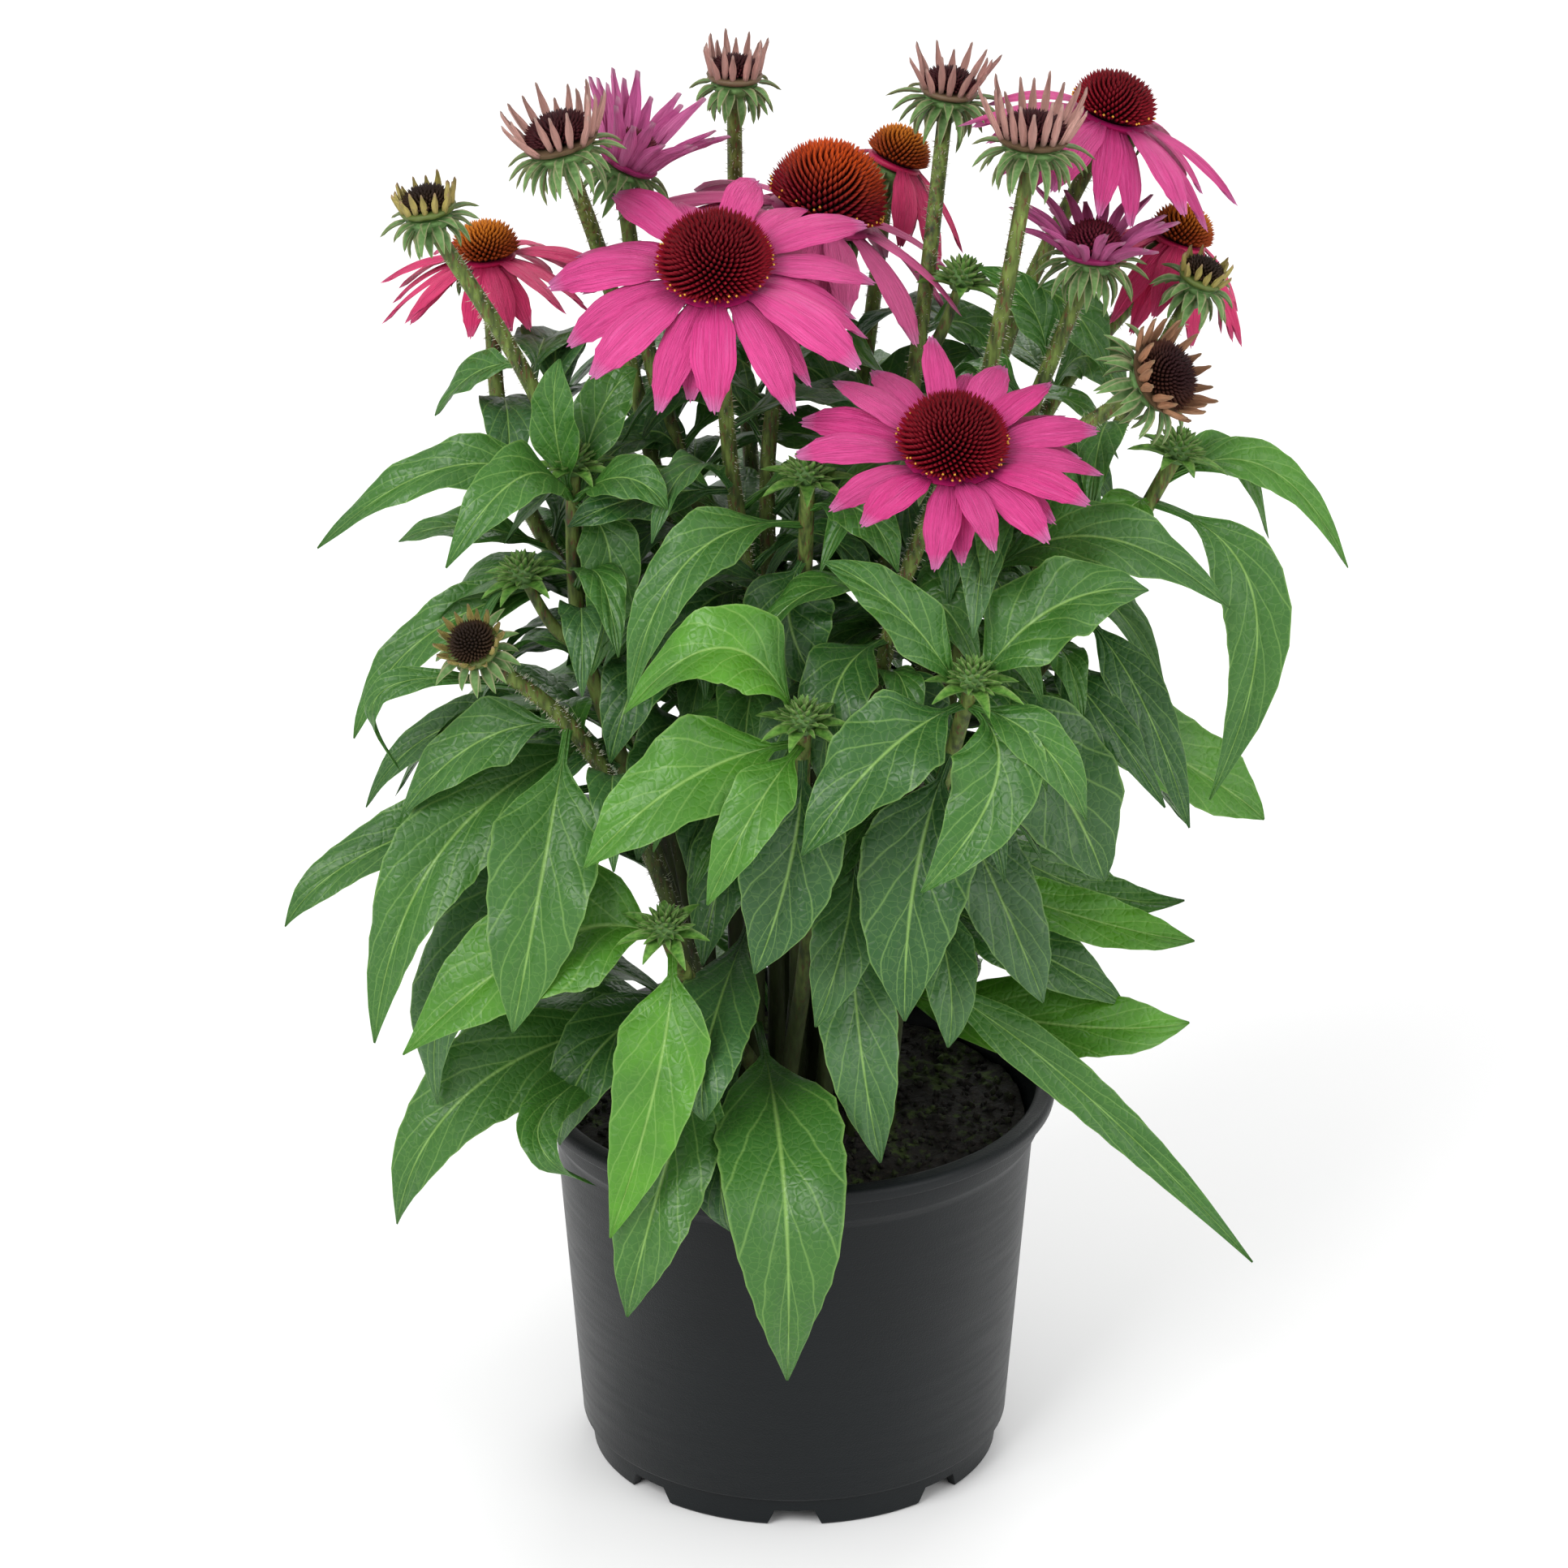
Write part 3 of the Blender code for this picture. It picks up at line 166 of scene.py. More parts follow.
HEADS = (
    Head("a", (882, 340), -45, 24, -95, (19.5, 19), 15, 44, 14.5, (6, -42), OPEN_BRACTS),
    Head("b", (1010, 272), -4, 18, 6, (20.5, 27), 14, 44, 12, (-6, -44), OPEN_BRACTS),
    Head("c", (1100, 205), 80, 24, 15, (11, 12.5), 11, 35, 10, (-28, -62), OPEN_BRACTS, (165, 265)),
    Head("d", (1366, 150), 34, 17, 5, (14.5, 15), 13, 41, 11.5, (-8, -50), OPEN_BRACTS),
    Head("e", (1450, 302), 52, 20, 10, (11, 12), 12, 35, 10, (-26, -66), OPEN_BRACTS),
    Head("f", (600, 322), 30, 5, 180, (11.5, 11.5), 13, 33, 9.5, (-6, -42), OPEN_BRACTS),
    Head("g", (1172, 562), -75, 22, -80, (18.5, 19), 15, 36, 12.5, (22, -22), OPEN_BRACTS),
    Head("h", (772, 203), 16, 26, 0, (9.5, 10), 11, 28, 6.5, (66, 44), BUD_BRACTS),
    Head("i", (1345, 316), 0, 6, 0, (9.5, 10), 11, 24, 5, (52, 20), BUD_BRACTS),
    Head("j", (693, 180), -30, 15, 180, (11.5, 8), 10, 17, 3.6, (52, 76), BUD_BRACTS),
    Head("k", (905, 98), 60, 2, 0, (8.5, 5), 8, 13, 3.2, (74, 84), SMALL_BRACTS),
    Head("l", (1168, 116), 52, 8, 0, (9, 6), 8, 15, 3.2, (62, 66), BUD_BRACTS),
    Head("m", (1272, 176), -12, 4, 0, (11, 7), 10, 19, 3.6, (62, 76), BUD_BRACTS),
    Head("n", (528, 262), -28, 10, 180, (8.5, 6), 8, 9, 3.2, (66, 84), SMALL_BRACTS),
    Head("o", (1478, 345), 12, 22, -20, (7, 5), 7, 7.5, 2.8, (66, 84), SMALL_BRACTS),
    Head("p", (1424, 468), -50, 58, -28, (12, 9), 10, 12, 4.2, (48, 70), BUD_BRACTS),
    Head("q", (584, 798), -70, 40, -110, (8, 5), 8, 8, 3.0, (48, 74), SMALL_BRACTS),
)

# Each stem: the places that it passes below its head or leafy tip, from the top down, as
# pixel column, pixel row and distance behind the pot's axis. A tip is a shut green bud.
Stem = namedtuple("Stem", "name way tips fills", defaults=((), True))

STEMS = (
    Stem("a", ((882, 480, -38), (905, 600, -32), (935, 820, -25))),
    Stem("b", ((962, 480, -6), (944, 570, -4), (950, 820, 2))),
    Stem("c", ((1085, 330, 78), (1040, 600, 60), (1000, 880, 38))),
    Stem("d", ((1325, 235, 36), (1262, 350, 34), (1190, 620, 28), (1110, 900, 18))),
    Stem("e", ((1396, 365, 50), (1340, 412, 50), (1230, 640, 40), (1120, 900, 28))),
    Stem("f", ((600, 410, 26), (608, 490, 22), (640, 600, 16), (780, 880, 4))),
    Stem("g", ((1138, 640, -66), (1108, 735, -60), (1080, 860, -48))),
    Stem("h", ((742, 262, 14), (792, 420, 10), (846, 540, 8), (890, 820, 2))),
    Stem("i", ((1328, 370, 0), (1290, 465, 0), (1190, 720, 0))),
    Stem("j", ((726, 260, -28), (776, 450, -26), (812, 610, -24), (838, 760, -22))),
    Stem("k", ((906, 230, 56), (916, 500, 44), (950, 800, 28))),
    Stem("l", ((1152, 280, 48), (1128, 440, 40), (1080, 760, 24)), ((1184, 348, 14),)),
    Stem("m", ((1262, 230, -12), (1236, 380, -14), (1208, 500, -16), (1150, 760, -18))),
    Stem("n", ((552, 325, -28), (612, 412, -27), (672, 512, -25), (760, 760, -18))),
    Stem("o", ((1458, 378, 10), (1420, 440, 8), (1330, 620, 4), (1180, 880, -2))),
    Stem("p", ((1380, 500, -48), (1300, 542, -48), (1238, 625, -46), (1190, 762, -40))),
    Stem("q", ((622, 842, -62), (700, 892, -54), (790, 1030, -40)), (), False),
    Stem("r", ((992, 720, -50), (985, 900, -36)), ((995, 590, -60),)),
    Stem("s", ((1178, 920, -88), (1120, 1080, -52)), ((1198, 842, -100),), False),
    Stem("t", ((988, 990, -84), (1000, 1120, -50)), ((990, 892, -102),), False),
    Stem("u", ((702, 700, -32), (735, 850, -30), (800, 1030, -24)), ((705, 575, -32), (645, 712, -42))),
    Stem("x", ((838, 1190, -76), (890, 1260, -46)), ((820, 1148, -98),), False),
    Stem("y", ((1425, 620, -12), (1330, 760, -10), (1180, 980, -8)), ((1450, 560, -12),)),
)

# Each leaf seen in the photograph: its stem, root, middle and tip in pixels, the distance of
# the middle and the tip behind the pot's axis, its width in pixels across, and its roll.
Leaf = namedtuple("Leaf", "stem root middle tip back width roll tone", defaults=(0, "mid"))

LEAVES = (
    Leaf("n", (640, 440), (585, 462), (537, 513), (-8, -8), 46, 20),
    Leaf("u", (705, 620), (684, 520), (690, 442), (-40, -40), 50, -20),
    Leaf("u", (702, 600), (560, 575), (392, 676), (-40, -36), 58, 0),
    Leaf("u", (702, 605), (640, 590), (550, 700), (-64, -80), 70, 0),
    Leaf("u", (706, 600), (770, 590), (822, 628), (-58, -66), 56, 0),
    Leaf("f", (650, 690), (575, 650), (492, 668), (0, 6), 50, 20),
    Leaf("n", (700, 720), (540, 775), (437, 910), (-24, -30), 56, 0),
    Leaf("q", (640, 850), (475, 850), (495, 950), (-66, -66), 28, 0),
    Leaf("f", (740, 900), (570, 890), (452, 995), (0, -4), 50, 0, "dark"),
    Leaf("q", (700, 905), (590, 915), (495, 1005), (-52, -56), 72, 0),
    Leaf("q", (700, 900), (668, 1080), (632, 1272), (-92, -104), 112, 0),
    Leaf("n", (760, 900), (560, 1030), (462, 1285), (-58, -78), 100, 0),
    Leaf("f", (780, 960), (500, 1030), (352, 1142), (-18, -28), 66, 0),
    Leaf("f", (800, 1020), (590, 1150), (540, 1360), (-44, -60), 88, 0, "grey"),
    Leaf("x", (826, 1160), (690, 1155), (497, 1300), (-96, -104), 138, 0, "bright"),
    Leaf("x", (824, 1165), (812, 1320), (752, 1525), (-112, -118), 92, 0, "bright"),
    Leaf("j", (900, 1250), (820, 1440), (773, 1622), (-106, -110), 100, 0),
    Leaf("a", (945, 1250), (965, 1450), (970, 1700), (-114, -116), 132, 0),
    Leaf("n", (850, 1240), (600, 1330), (490, 1508), (-62, -76), 104, 0),
    Leaf("f", (870, 1250), (672, 1370), (735, 1460), (-80, -100), 50, 0),
    Leaf("h", (900, 1200), (742, 1290), (690, 1410), (-72, -84), 84, 0, "dark"),
    Leaf("a", (930, 1110), (876, 1250), (868, 1380), (-84, -98), 82, 0, "grey"),
    Leaf("j", (920, 1290), (888, 1400), (900, 1516), (-94, -104), 76, 0, "grey"),
    Leaf("t", (988, 915), (850, 960), (720, 1070), (-116, -124), 104, 0, "bright"),
    Leaf("t", (990, 920), (930, 1000), (872, 1115), (-128, -134), 62, 0, "bright"),
    Leaf("t", (990, 905), (900, 800), (770, 880), (-104, -104), 92, 0, "bright"),
    Leaf("t", (988, 935), (975, 1060), (930, 1200), (-112, -116), 104, 0, "dark"),
    Leaf("s", (1192, 850), (1110, 755), (1015, 693), (-104, -104), 62, 0),
    Leaf("s", (1198, 848), (1290, 755), (1415, 728), (-92, -82), 96, 0),
    Leaf("s", (1195, 860), (1228, 960), (1135, 1100), (-118, -128), 92, 0),
    Leaf("s", (1198, 855), (1280, 915), (1338, 1010), (-112, -112), 56, 0),
    Leaf("s", (1188, 870), (1090, 930), (988, 1055), (-120, -130), 100, 0, "dark"),
    Leaf("g", (1095, 800), (1030, 850), (1022, 985), (-84, -96), 74, 0, "dark"),
    Leaf("s", (1175, 930), (1128, 1080), (1115, 1258), (-104, -112), 116, 0, "dark"),
    Leaf("p", (1200, 740), (1345, 662), (1515, 750), (-52, -44), 82, 0),
    Leaf("y", (1440, 600), (1555, 575), (1660, 700), (-4, 2), 50, 0, "bright"),
    Leaf("y", (1420, 630), (1545, 740), (1490, 985), (-26, -36), 72, 0),
    Leaf("y", (1340, 760), (1405, 860), (1465, 1020), (-30, -40), 56, 0, "dark"),
    Leaf("y", (1290, 820), (1350, 870), (1435, 995), (-36, -44), 50, 0, "dark"),
    Leaf("o", (1240, 830), (1440, 930), (1557, 1010), (12, 16), 96, 0, "bright"),
    Leaf("p", (1180, 800), (1300, 960), (1360, 1085), (-60, -62), 124, 0, "dark"),
    Leaf("m", (1130, 900), (1225, 1090), (1285, 1235), (-66, -78), 84, 0, "grey"),
    Leaf("o", (1150, 1000), (1320, 1090), (1460, 1110), (8, 6), 50, 0),
    Leaf("m", (1120, 1050), (1330, 1130), (1472, 1160), (-18, -22), 60, 0, "bright"),
    Leaf("i", (1110, 1080), (1260, 1165), (1385, 1238), (-30, -40), 74, 0, "dark"),
    Leaf("d", (1060, 1200), (1290, 1240), (1465, 1260), (-30, -34), 92, 0, "bright"),
    Leaf("p", (1100, 1200), (1310, 1325), (1543, 1555), (-44, -50), 50, 20),
    Leaf("g", (1045, 1100), (1058, 1270), (1085, 1432), (-78, -84), 82, 0, "grey"),
    Leaf("p", (1120, 1080), (1168, 1190), (1168, 1290), (-72, -80), 60, 0, "grey"),
    Leaf("g", (1050, 1050), (1042, 1150), (1005, 1265), (-82, -92), 72, 0, "grey"),
    Leaf("r", (990, 690), (972, 760), (1012, 850), (-66, -72), 92, 0, "dark"),
    Leaf("r", (995, 640), (850, 690), (775, 870), (-80, -88), 66, 0),
    Leaf("r", (995, 615), (1060, 630), (1106, 705), (-68, -76), 56, 0),
    Leaf("a", (905, 600), (790, 590), (700, 650), (-44, -50), 56, 0, "dark"),
    Leaf("i", (1290, 465), (1268, 400), (1205, 330), (10, 14), 46, 0),
    Leaf("d", (1262, 350), (1320, 380), (1365, 460), (26, 24), 62, 0),
    Leaf("l", (1140, 400), (1190, 400), (1235, 450), (34, 30), 50, 0),
    Leaf("u", (708, 610), (752, 690), (728, 832), (-44, -50), 62, 0),
    Leaf("u", (705, 585), (742, 505), (785, 456), (-24, -18), 58, 0),
    Leaf("e", (1240, 620), (1310, 560), (1372, 625), (14, 10), 62, 0, "dark"),
    Leaf("y", (1450, 590), (1508, 560), (1562, 664), (4, 8), 42, 0, "bright"),
    Leaf("y", (1430, 640), (1385, 640), (1350, 740), (-22, -30), 56, 0, "bright"),
    Leaf("c", (1040, 560), (1120, 470), (1200, 432), (56, 50), 66, 0),
    Leaf("h", (846, 600), (810, 510), (755, 560), (6, 0), 60, 0, "dark"),
    Leaf("a", (925, 740), (862, 752), (806, 850), (-40, -52), 76, 0, "dark"),
    Leaf("b", (950, 760), (1015, 770), (1082, 900), (-20, -34), 76, 0, "dark"),
    Leaf("k", (935, 700), (880, 690), (836, 800), (14, 0), 76, 0, "dark"),
    Leaf("g", (1095, 790), (1150, 742), (1205, 830), (-62, -70), 70, 0),
    Leaf("j", (842, 800), (790, 830), (752, 940), (-42, -56), 76, 0, "dark"),
    Leaf("h", (880, 880), (828, 930), (786, 1060), (-40, -56), 84, 0, "dark"),
    Leaf("i", (1130, 880), (1190, 940), (1232, 1080), (-30, -44), 84, 0, "dark"),
    Leaf("m", (1145, 790), (1222, 820), (1296, 940), (-36, -46), 80, 0),
    Leaf("b", (960, 980), (905, 1050), (866, 1190), (-44, -62), 84, 0, "dark"),
    Leaf("b", (944, 570), (872, 470), (792, 540), (12, 2), 66, 0, "dark"),
    Leaf("k", (916, 500), (985, 450), (1068, 540), (48, 40), 66, 0, "dark"),
    Leaf("k", (940, 760), (1010, 660), (1096, 760), (24, 12), 76, 0, "dark"),
    Leaf("c", (1020, 740), (1100, 640), (1196, 720), (46, 40), 70, 0, "dark"),
    Leaf("e", (1290, 500), (1340, 440), (1392, 520), (44, 38), 62, 0),
    Leaf("g", (1085, 830), (1130, 880), (1172, 1010), (-60, -72), 70, 0, "dark"),
    Leaf("l", (1090, 720), (1170, 700), (1262, 800), (14, 4), 76, 0, "dark"),
    Leaf("h", (890, 820), (950, 830), (960, 960), (-24, -40), 76, 0, "dark"),
    Leaf("c", (1000, 900), (1060, 930), (1092, 1070), (14, -4), 84, 0, "dark"),
    Leaf("j", (840, 900), (868, 980), (858, 1110), (-34, -48), 76, 0, "dark"),
)

# Finish numbers of a leafy stem's materials
LEAF, STEM, BRACT = 0, 1, 2
TONES = {"dark": 0.0, "mid": 0.4, "grey": 0.7, "bright": 1.0}

# Fine shapes
LEAF_STALK = 0.13
LEAF_BROADEST = 0.40
LEAF_STEPS = 30
LEAF_COLUMNS = (-1, -0.74, -0.44, -0.14, 0, 0.14, 0.44, 0.74, 1)
RIM_ANGLE = 1.75
LEAF_THICKNESS = 0.6
RIB_THICKNESS = 1.1
STALK_THICKNESS = 2.0
TOOTH_SPACING = 12
TOOTH_DEPTH = 0.11
PUCKER = 0.35
FINE_STEPS = 9
SPRIG_SPACING = 17
SPRIG_LOW, SPRIG_HIGH = 262, 420
SPRIG_LENGTHS = (42, 78)
SPRIG_WIDTH = 0.33
SPRIG_REACH = 118
FLORETS = 620
HAIRS = 800
HAIR_WIDTH = 0.13
SOIL_CLOD = 1.3
SOIL_CRUMBS = 1300

Shape = namedtuple("Shape", "steps columns hollow grooves notch thickness")
OPEN_RAY = Shape(14, 9, -0.16, 0.38, 4.0, 0.7)
BUD_RAY = Shape(9, 5, 0.7, 0.0, 0.6, 0.7)
BRACT_SHAPE = Shape(6, 5, 0.35, 0.0, 0.0, 0.7)
OPEN_RAY_SPREAD = ((0, 0.5), (0.3, 0.92), (0.58, 1.0), (0.84, 0.74), (1, 0.3))
BUD_RAY_SPREAD = ((0, 0.7), (0.45, 1.0), (1, 0.35))
BRACT_ROWS = ((0, 0.75), (0.35, 1.0), (0.7, 0.6), (1, 0.06))

# Which rays and cones each head has: in full bloom, older, redder, shut or still green
HEAD_KINDS = {
    "a": "bloom", "b": "old", "c": "red", "d": "bloom", "e": "red", "f": "red", "g": "bloom",
    "h": "opening", "i": "opening", "j": "bud", "k": "bud", "l": "bud", "m": "bud", "n": "green",
    "o": "green", "p": "tan", "q": "green",
}

# Colours as linear red, green and blue
DARK_LEAF = (0.018, 0.075, 0.015)
MID_LEAF = (0.041, 0.142, 0.017)
GREY_LEAF = (0.046, 0.118, 0.042)
BRIGHT_LEAF = (0.080, 0.265, 0.012)
LEAF_SHADE = (0.021, 0.084, 0.016)
VEIN_GREEN = (0.240, 0.420, 0.100)
# STEM_DARK is the colour of the stems' dark streaks and also of their painted shade near the soil
STEM_DARK = (0.020, 0.028, 0.009)
STEM_GREEN = (0.115, 0.165, 0.034)
STEM_PALE = (0.220, 0.300, 0.075)
BRACT_FRESH = (0.170, 0.360, 0.060)
STEM_RED = (0.120, 0.045, 0.025)
HAIR_PALE = (0.62, 0.62, 0.48)
BRACT_DARK = (0.045, 0.115, 0.026)
BRACT_GREEN = (0.155, 0.275, 0.100)
BRACT_TIP = (0.140, 0.260, 0.065)
BRACT_RIM = (0.460, 0.360, 0.240)
POT_DARK = (0.0028, 0.0042, 0.0050)
POT_GREY = (0.0045, 0.0066, 0.0078)
POT_SCUFF = (0.012, 0.015, 0.017)
SOIL_BLACK = (0.004, 0.004, 0.003)
SOIL_BROWN = (0.012, 0.008, 0.005)
SOIL_PALE = (0.028, 0.020, 0.012)
MOSS_GREEN = (0.050, 0.085, 0.010)
RAY_COLOURS = {
    "rays_bloom": ((0.36, 0.008, 0.10), (0.66, 0.038, 0.23), (0.72, 0.21, 0.47)),
    "rays_old": ((0.40, 0.030, 0.14), (0.70, 0.090, 0.28), (0.80, 0.25, 0.48)),
    "rays_red": ((0.42, 0.010, 0.07), (0.76, 0.034, 0.16), (0.80, 0.12, 0.28)),
    "rays_opening": ((0.36, 0.030, 0.15), (0.70, 0.120, 0.38), (0.84, 0.42, 0.60)),
    "rays_bud": ((0.14, 0.090, 0.050), (0.68, 0.35, 0.30), (0.78, 0.54, 0.46)),
    "rays_tan": ((0.10, 0.06, 0.03), (0.50, 0.24, 0.13), (0.56, 0.36, 0.20)),
    "rays_green": ((0.10, 0.14, 0.03), (0.56, 0.47, 0.13), (0.64, 0.42, 0.24)),
}
CONE_COLOURS = {
    "cone_bloom": (
        (0.004, 0.0005, 0.0005), (0.035, 0.0005, 0.003), (0.31, 0.001, 0.014), (0.20, 0.002, 0.008),
    ),
    "cone_old": ((0.005, 0.001, 0.001), (0.04, 0.001, 0.003), (0.25, 0.002, 0.012), (0.72, 0.085, 0.004)),
    "cone_red": ((0.016, 0.006, 0.002), (0.14, 0.022, 0.004), (0.38, 0.055, 0.006), (0.78, 0.24, 0.012)),
    "cone_opening": ((0.010, 0.004, 0.005), (0.06, 0.006, 0.016), (0.20, 0.012, 0.040), (0.14, 0.012, 0.025)),
    "cone_bud": ((0.004, 0.001, 0.001), (0.020, 0.003, 0.005), (0.085, 0.014, 0.019), (0.05, 0.009, 0.011)),
    "cone_tan": ((0.004, 0.002, 0.001), (0.016, 0.004, 0.004), (0.085, 0.028, 0.015), (0.03, 0.006, 0.008)),
    "cone_green": ((0.004, 0.003, 0.002), (0.020, 0.012, 0.006), (0.060, 0.030, 0.014), (0.02, 0.010, 0.008)),
}

# The studio: each light's name, place, size in metres and power in watts
FLOOR_HALF = 30
WORLD_LEVEL = 0.85
LIGHTS = (
    ("key_light", (-1.5, -2.2, 2.4), 1.6, 68),
    ("fill_light", (2.2, -1.6, 1.2), 1.8, 22),
    ("back_light", (0.6, 2.2, 2.2), 1.6, 24),
)


def view_axes():
    """The eye of the photograph's camera, with its right, up and backward directions."""
    up = Vector((0, math.sin(VIEW_ELEVATION), math.cos(VIEW_ELEVATION)))
    backward = Vector((0, -math.cos(VIEW_ELEVATION), math.sin(VIEW_ELEVATION)))
    return VIEW_AIM + backward * VIEW_DISTANCE, Vector((1, 0, 0)), up, backward


def seen(column, row, back):
    """The point at this pixel of the photograph, this far behind the pot's axis."""
    eye, right, up, backward = view_axes()
    across = (column - VIEW_CENTRE) / VIEW_FOCUS
    above = (VIEW_CENTRE - row) / VIEW_FOCUS
    ray = right * across + up * above - backward
    return eye + ray * ((back - eye.y) / ray.y)


def pixel_of(point):
    """The pixel of the photograph where a point is seen."""
    eye, right, up, backward = view_axes()
    gap = point - eye
    scale = VIEW_FOCUS / -gap.dot(backward)
    return Vector((VIEW_CENTRE + gap.dot(right) * scale, VIEW_CENTRE - gap.dot(up) * scale))


def smooth_path(points, steps):
    """Points spaced evenly along a smooth curve through the given ones."""
    ends = [points[0] * 2 - points[1], *points, points[-1] * 2 - points[-2]]
    fine = []
    for index in range(1, len(ends) - 2):
        before, start, end, after = ends[index - 1 : index + 3]
        for part in range(12):
            t = part / 12
            fine.append(
                (start * 2 + (end - before) * t + (before * 2 - start * 5 + end * 4 - after) * t**2
                 + (start * 3 - before - end * 3 + after) * t**3) / 2
            )
    fine.append(points[-1])
    lengths = [0]
    for first, second in zip(fine, fine[1:]):
        lengths.append(lengths[-1] + (second - first).length)
    path = []
    for step in range(steps + 1):
        wanted = lengths[-1] * step / steps
        index = max(1, next(i for i, length in enumerate(lengths) if length >= wanted - 1e-6))
        share = (wanted - lengths[index - 1]) / (lengths[index] - lengths[index - 1])
        path.append(fine[index - 1].lerp(fine[index], share))
    return path


def tube(path, radii, sides=STEM_SIDES):
    """A closed tube along a path, as points and faces."""
    rings = []
    side = (path[1] - path[0]).cross(Vector((0.3, 1, 0.2))).normalized()
    for index, point in enumerate(path):
        along = path[min(index + 1, len(path) - 1)] - path[max(index - 1, 0)]
        side = (side - along * (side.dot(along) / along.length_squared)).normalized()
        other = along.normalized().cross(side)
        for step in range(sides):
            angle = math.tau * step / sides
            rings.append(point + (side * math.cos(angle) + other * math.sin(angle)) * radii[index])
    return rings, ring_faces(len(path), sides)


def ring_faces(count, sides):
    """Faces that join rings of points to each other in order and close both ends."""
    faces = [tuple(reversed(range(sides)))]
    for ring in range(count - 1):
        for step in range(sides):
            low = ring * sides + step
            low_next = ring * sides + (step + 1) % sides
            faces.append((low, low_next, low_next + sides))
            faces.append((low, low_next + sides, low + sides))
    faces.append(tuple(range((count - 1) * sides, count * sides)))
    return faces


def bend(root, middle, tip, share):
    """The point and the direction of a curve from root to tip through the middle."""
    handle = middle * 2 - (root + tip) / 2
    point = root * (1 - share) ** 2 + handle * (2 * share * (1 - share)) + tip * share**2
    along = (handle - root) * (1 - share) + (tip - handle) * share
    return point, along.normalized()


def leaf_blade(root, middle, tip, width, facing, extra=0):
    """A folded leaf with waved edges and a rib, on a stalk, as points and faces.

    Each row has its left edge, the top of the rib, its right edge and the rib's underside,
    and both faces are split into triangles alike. extra thickens it for a clearance test.
    """
    across = (tip - root).cross(facing)
    rows = LEAF_ROWS if width > LARGE_LEAF else MIDDLING_LEAF_ROWS
    if width < SMALL_LEAF:
        rows = SMALL_LEAF_ROWS
    points = []
    for share, spread, wave in rows[:-1]:
        point, along = bend(root, middle, tip, share)
        side = (across - along * across.dot(along)).normalized()
        normal = side.cross(along)
        half = PETIOLE_WIDTH / 2 + (width / 2 - PETIOLE_WIDTH / 2) * spread
        fold = normal * (half * LEAF_FOLD if spread else 0)
        ripple = normal * (wave * half * LEAF_WAVE)
        points.append(point - side * (half + extra) + fold + ripple)
        points.append(point + normal * (LEAF_RIB * 0.4 + extra))
        points.append(point + side * (half + extra) + fold - ripple)
        points.append(point - normal * (LEAF_RIB * 0.6 + extra))
    points.append(tip)
    faces = [(3, 2, 1, 0)]
    for left in range(0, len(points) - 5, 4):
        top, right, under = left + 1, left + 2, left + 3
        for edge, rib in ((left, top), (right, top), (left, under), (right, under)):
            faces += [(edge, rib, rib + 4), (edge, rib + 4, edge + 4)]
    end = len(points) - 1
    for step in range(4):
        faces.append((end - 4 + step, end - 4 + (step + 1) % 4, end))
    return points, faces


def ray_rows(bearing, start, length, width, pitch, rows):
    """The rows of a ray petal that leaves a head's axis at a bearing, three points to a row.

    Each row has its two edges and the keel below them. pitch is in degrees above the head's
    own plane, at the root and at the tip.
    """
    outward = Vector((math.cos(bearing), math.sin(bearing), 0))
    side = Vector((-math.sin(bearing), math.cos(bearing), 0))
    points = []
    position = start.copy()
    past = 0
    for share, spread in rows:
        angle = math.radians(pitch[0] + (pitch[1] - pitch[0]) * (past + share) / 2)
        position += (outward * math.cos(angle) + UP * math.sin(angle)) * (share - past) * length
        past = share
        angle = math.radians(pitch[0] + (pitch[1] - pitch[0]) * share)
        above = UP * math.cos(angle) - outward * math.sin(angle)
        half = width / 2 * spread
        points.append(position - side * half + above * RAY_KEEL * 0.35)
        points.append(position + side * half + above * RAY_KEEL * 0.35)
        points.append(position - above * RAY_KEEL * 0.65)
    points[-1] -= (outward * math.cos(angle) + UP * math.sin(angle)) * RAY_NOTCH
    return points


def spiked_dome(place, radius, height, rings, spokes, spike, foot=0.86, skirt=0):
    """A dome whose surface is raised into rows of points, as points and faces.

    skirt draws every second corner of its foot out into a small leaf.
    """
    points = [Vector((0, 0, 0))]
    for ring in range(rings):
        rise = math.radians(-8 + 98 * ring / rings)
        for spoke in range(spokes):
            turn = math.tau * spoke / spokes
            reach = radius * (foot if ring == 0 else math.cos(rise))
            tall = 0 if ring == 0 else height * (0.12 + 0.88 * math.sin(rise))
            if ring == 0 and spoke % 2:
                reach += skirt
            point = Vector((reach * math.cos(turn), reach * math.sin(turn), tall))
            if ring and (ring + spoke) % 2:
                out = Vector((math.cos(turn) * math.cos(rise), math.sin(turn) * math.cos(rise), 0.35))
                point += (out + UP * math.sin(rise)).normalized() * spike
            points.append(point)
    points.append(Vector((0, 0, height)))
    faces = []
    for spoke in range(spokes):
        following = (spoke + 1) % spokes
        faces.append((0, 1 + following, 1 + spoke))
        for ring in range(rings - 1):
            low = 1 + ring * spokes + spoke
            low_next = 1 + ring * spokes + following
            high, high_next = low + spokes, low_next + spokes
            if (ring + spoke) % 2:
                faces += [(low, low_next, high_next), (low, high_next, high)]
                continue
            faces += [(low, low_next, high), (low_next, high_next, high)]
        last = 1 + (rings - 1) * spokes
        faces.append((last + spoke, last + following, len(points) - 1))
    return [place @ point for point in points], faces


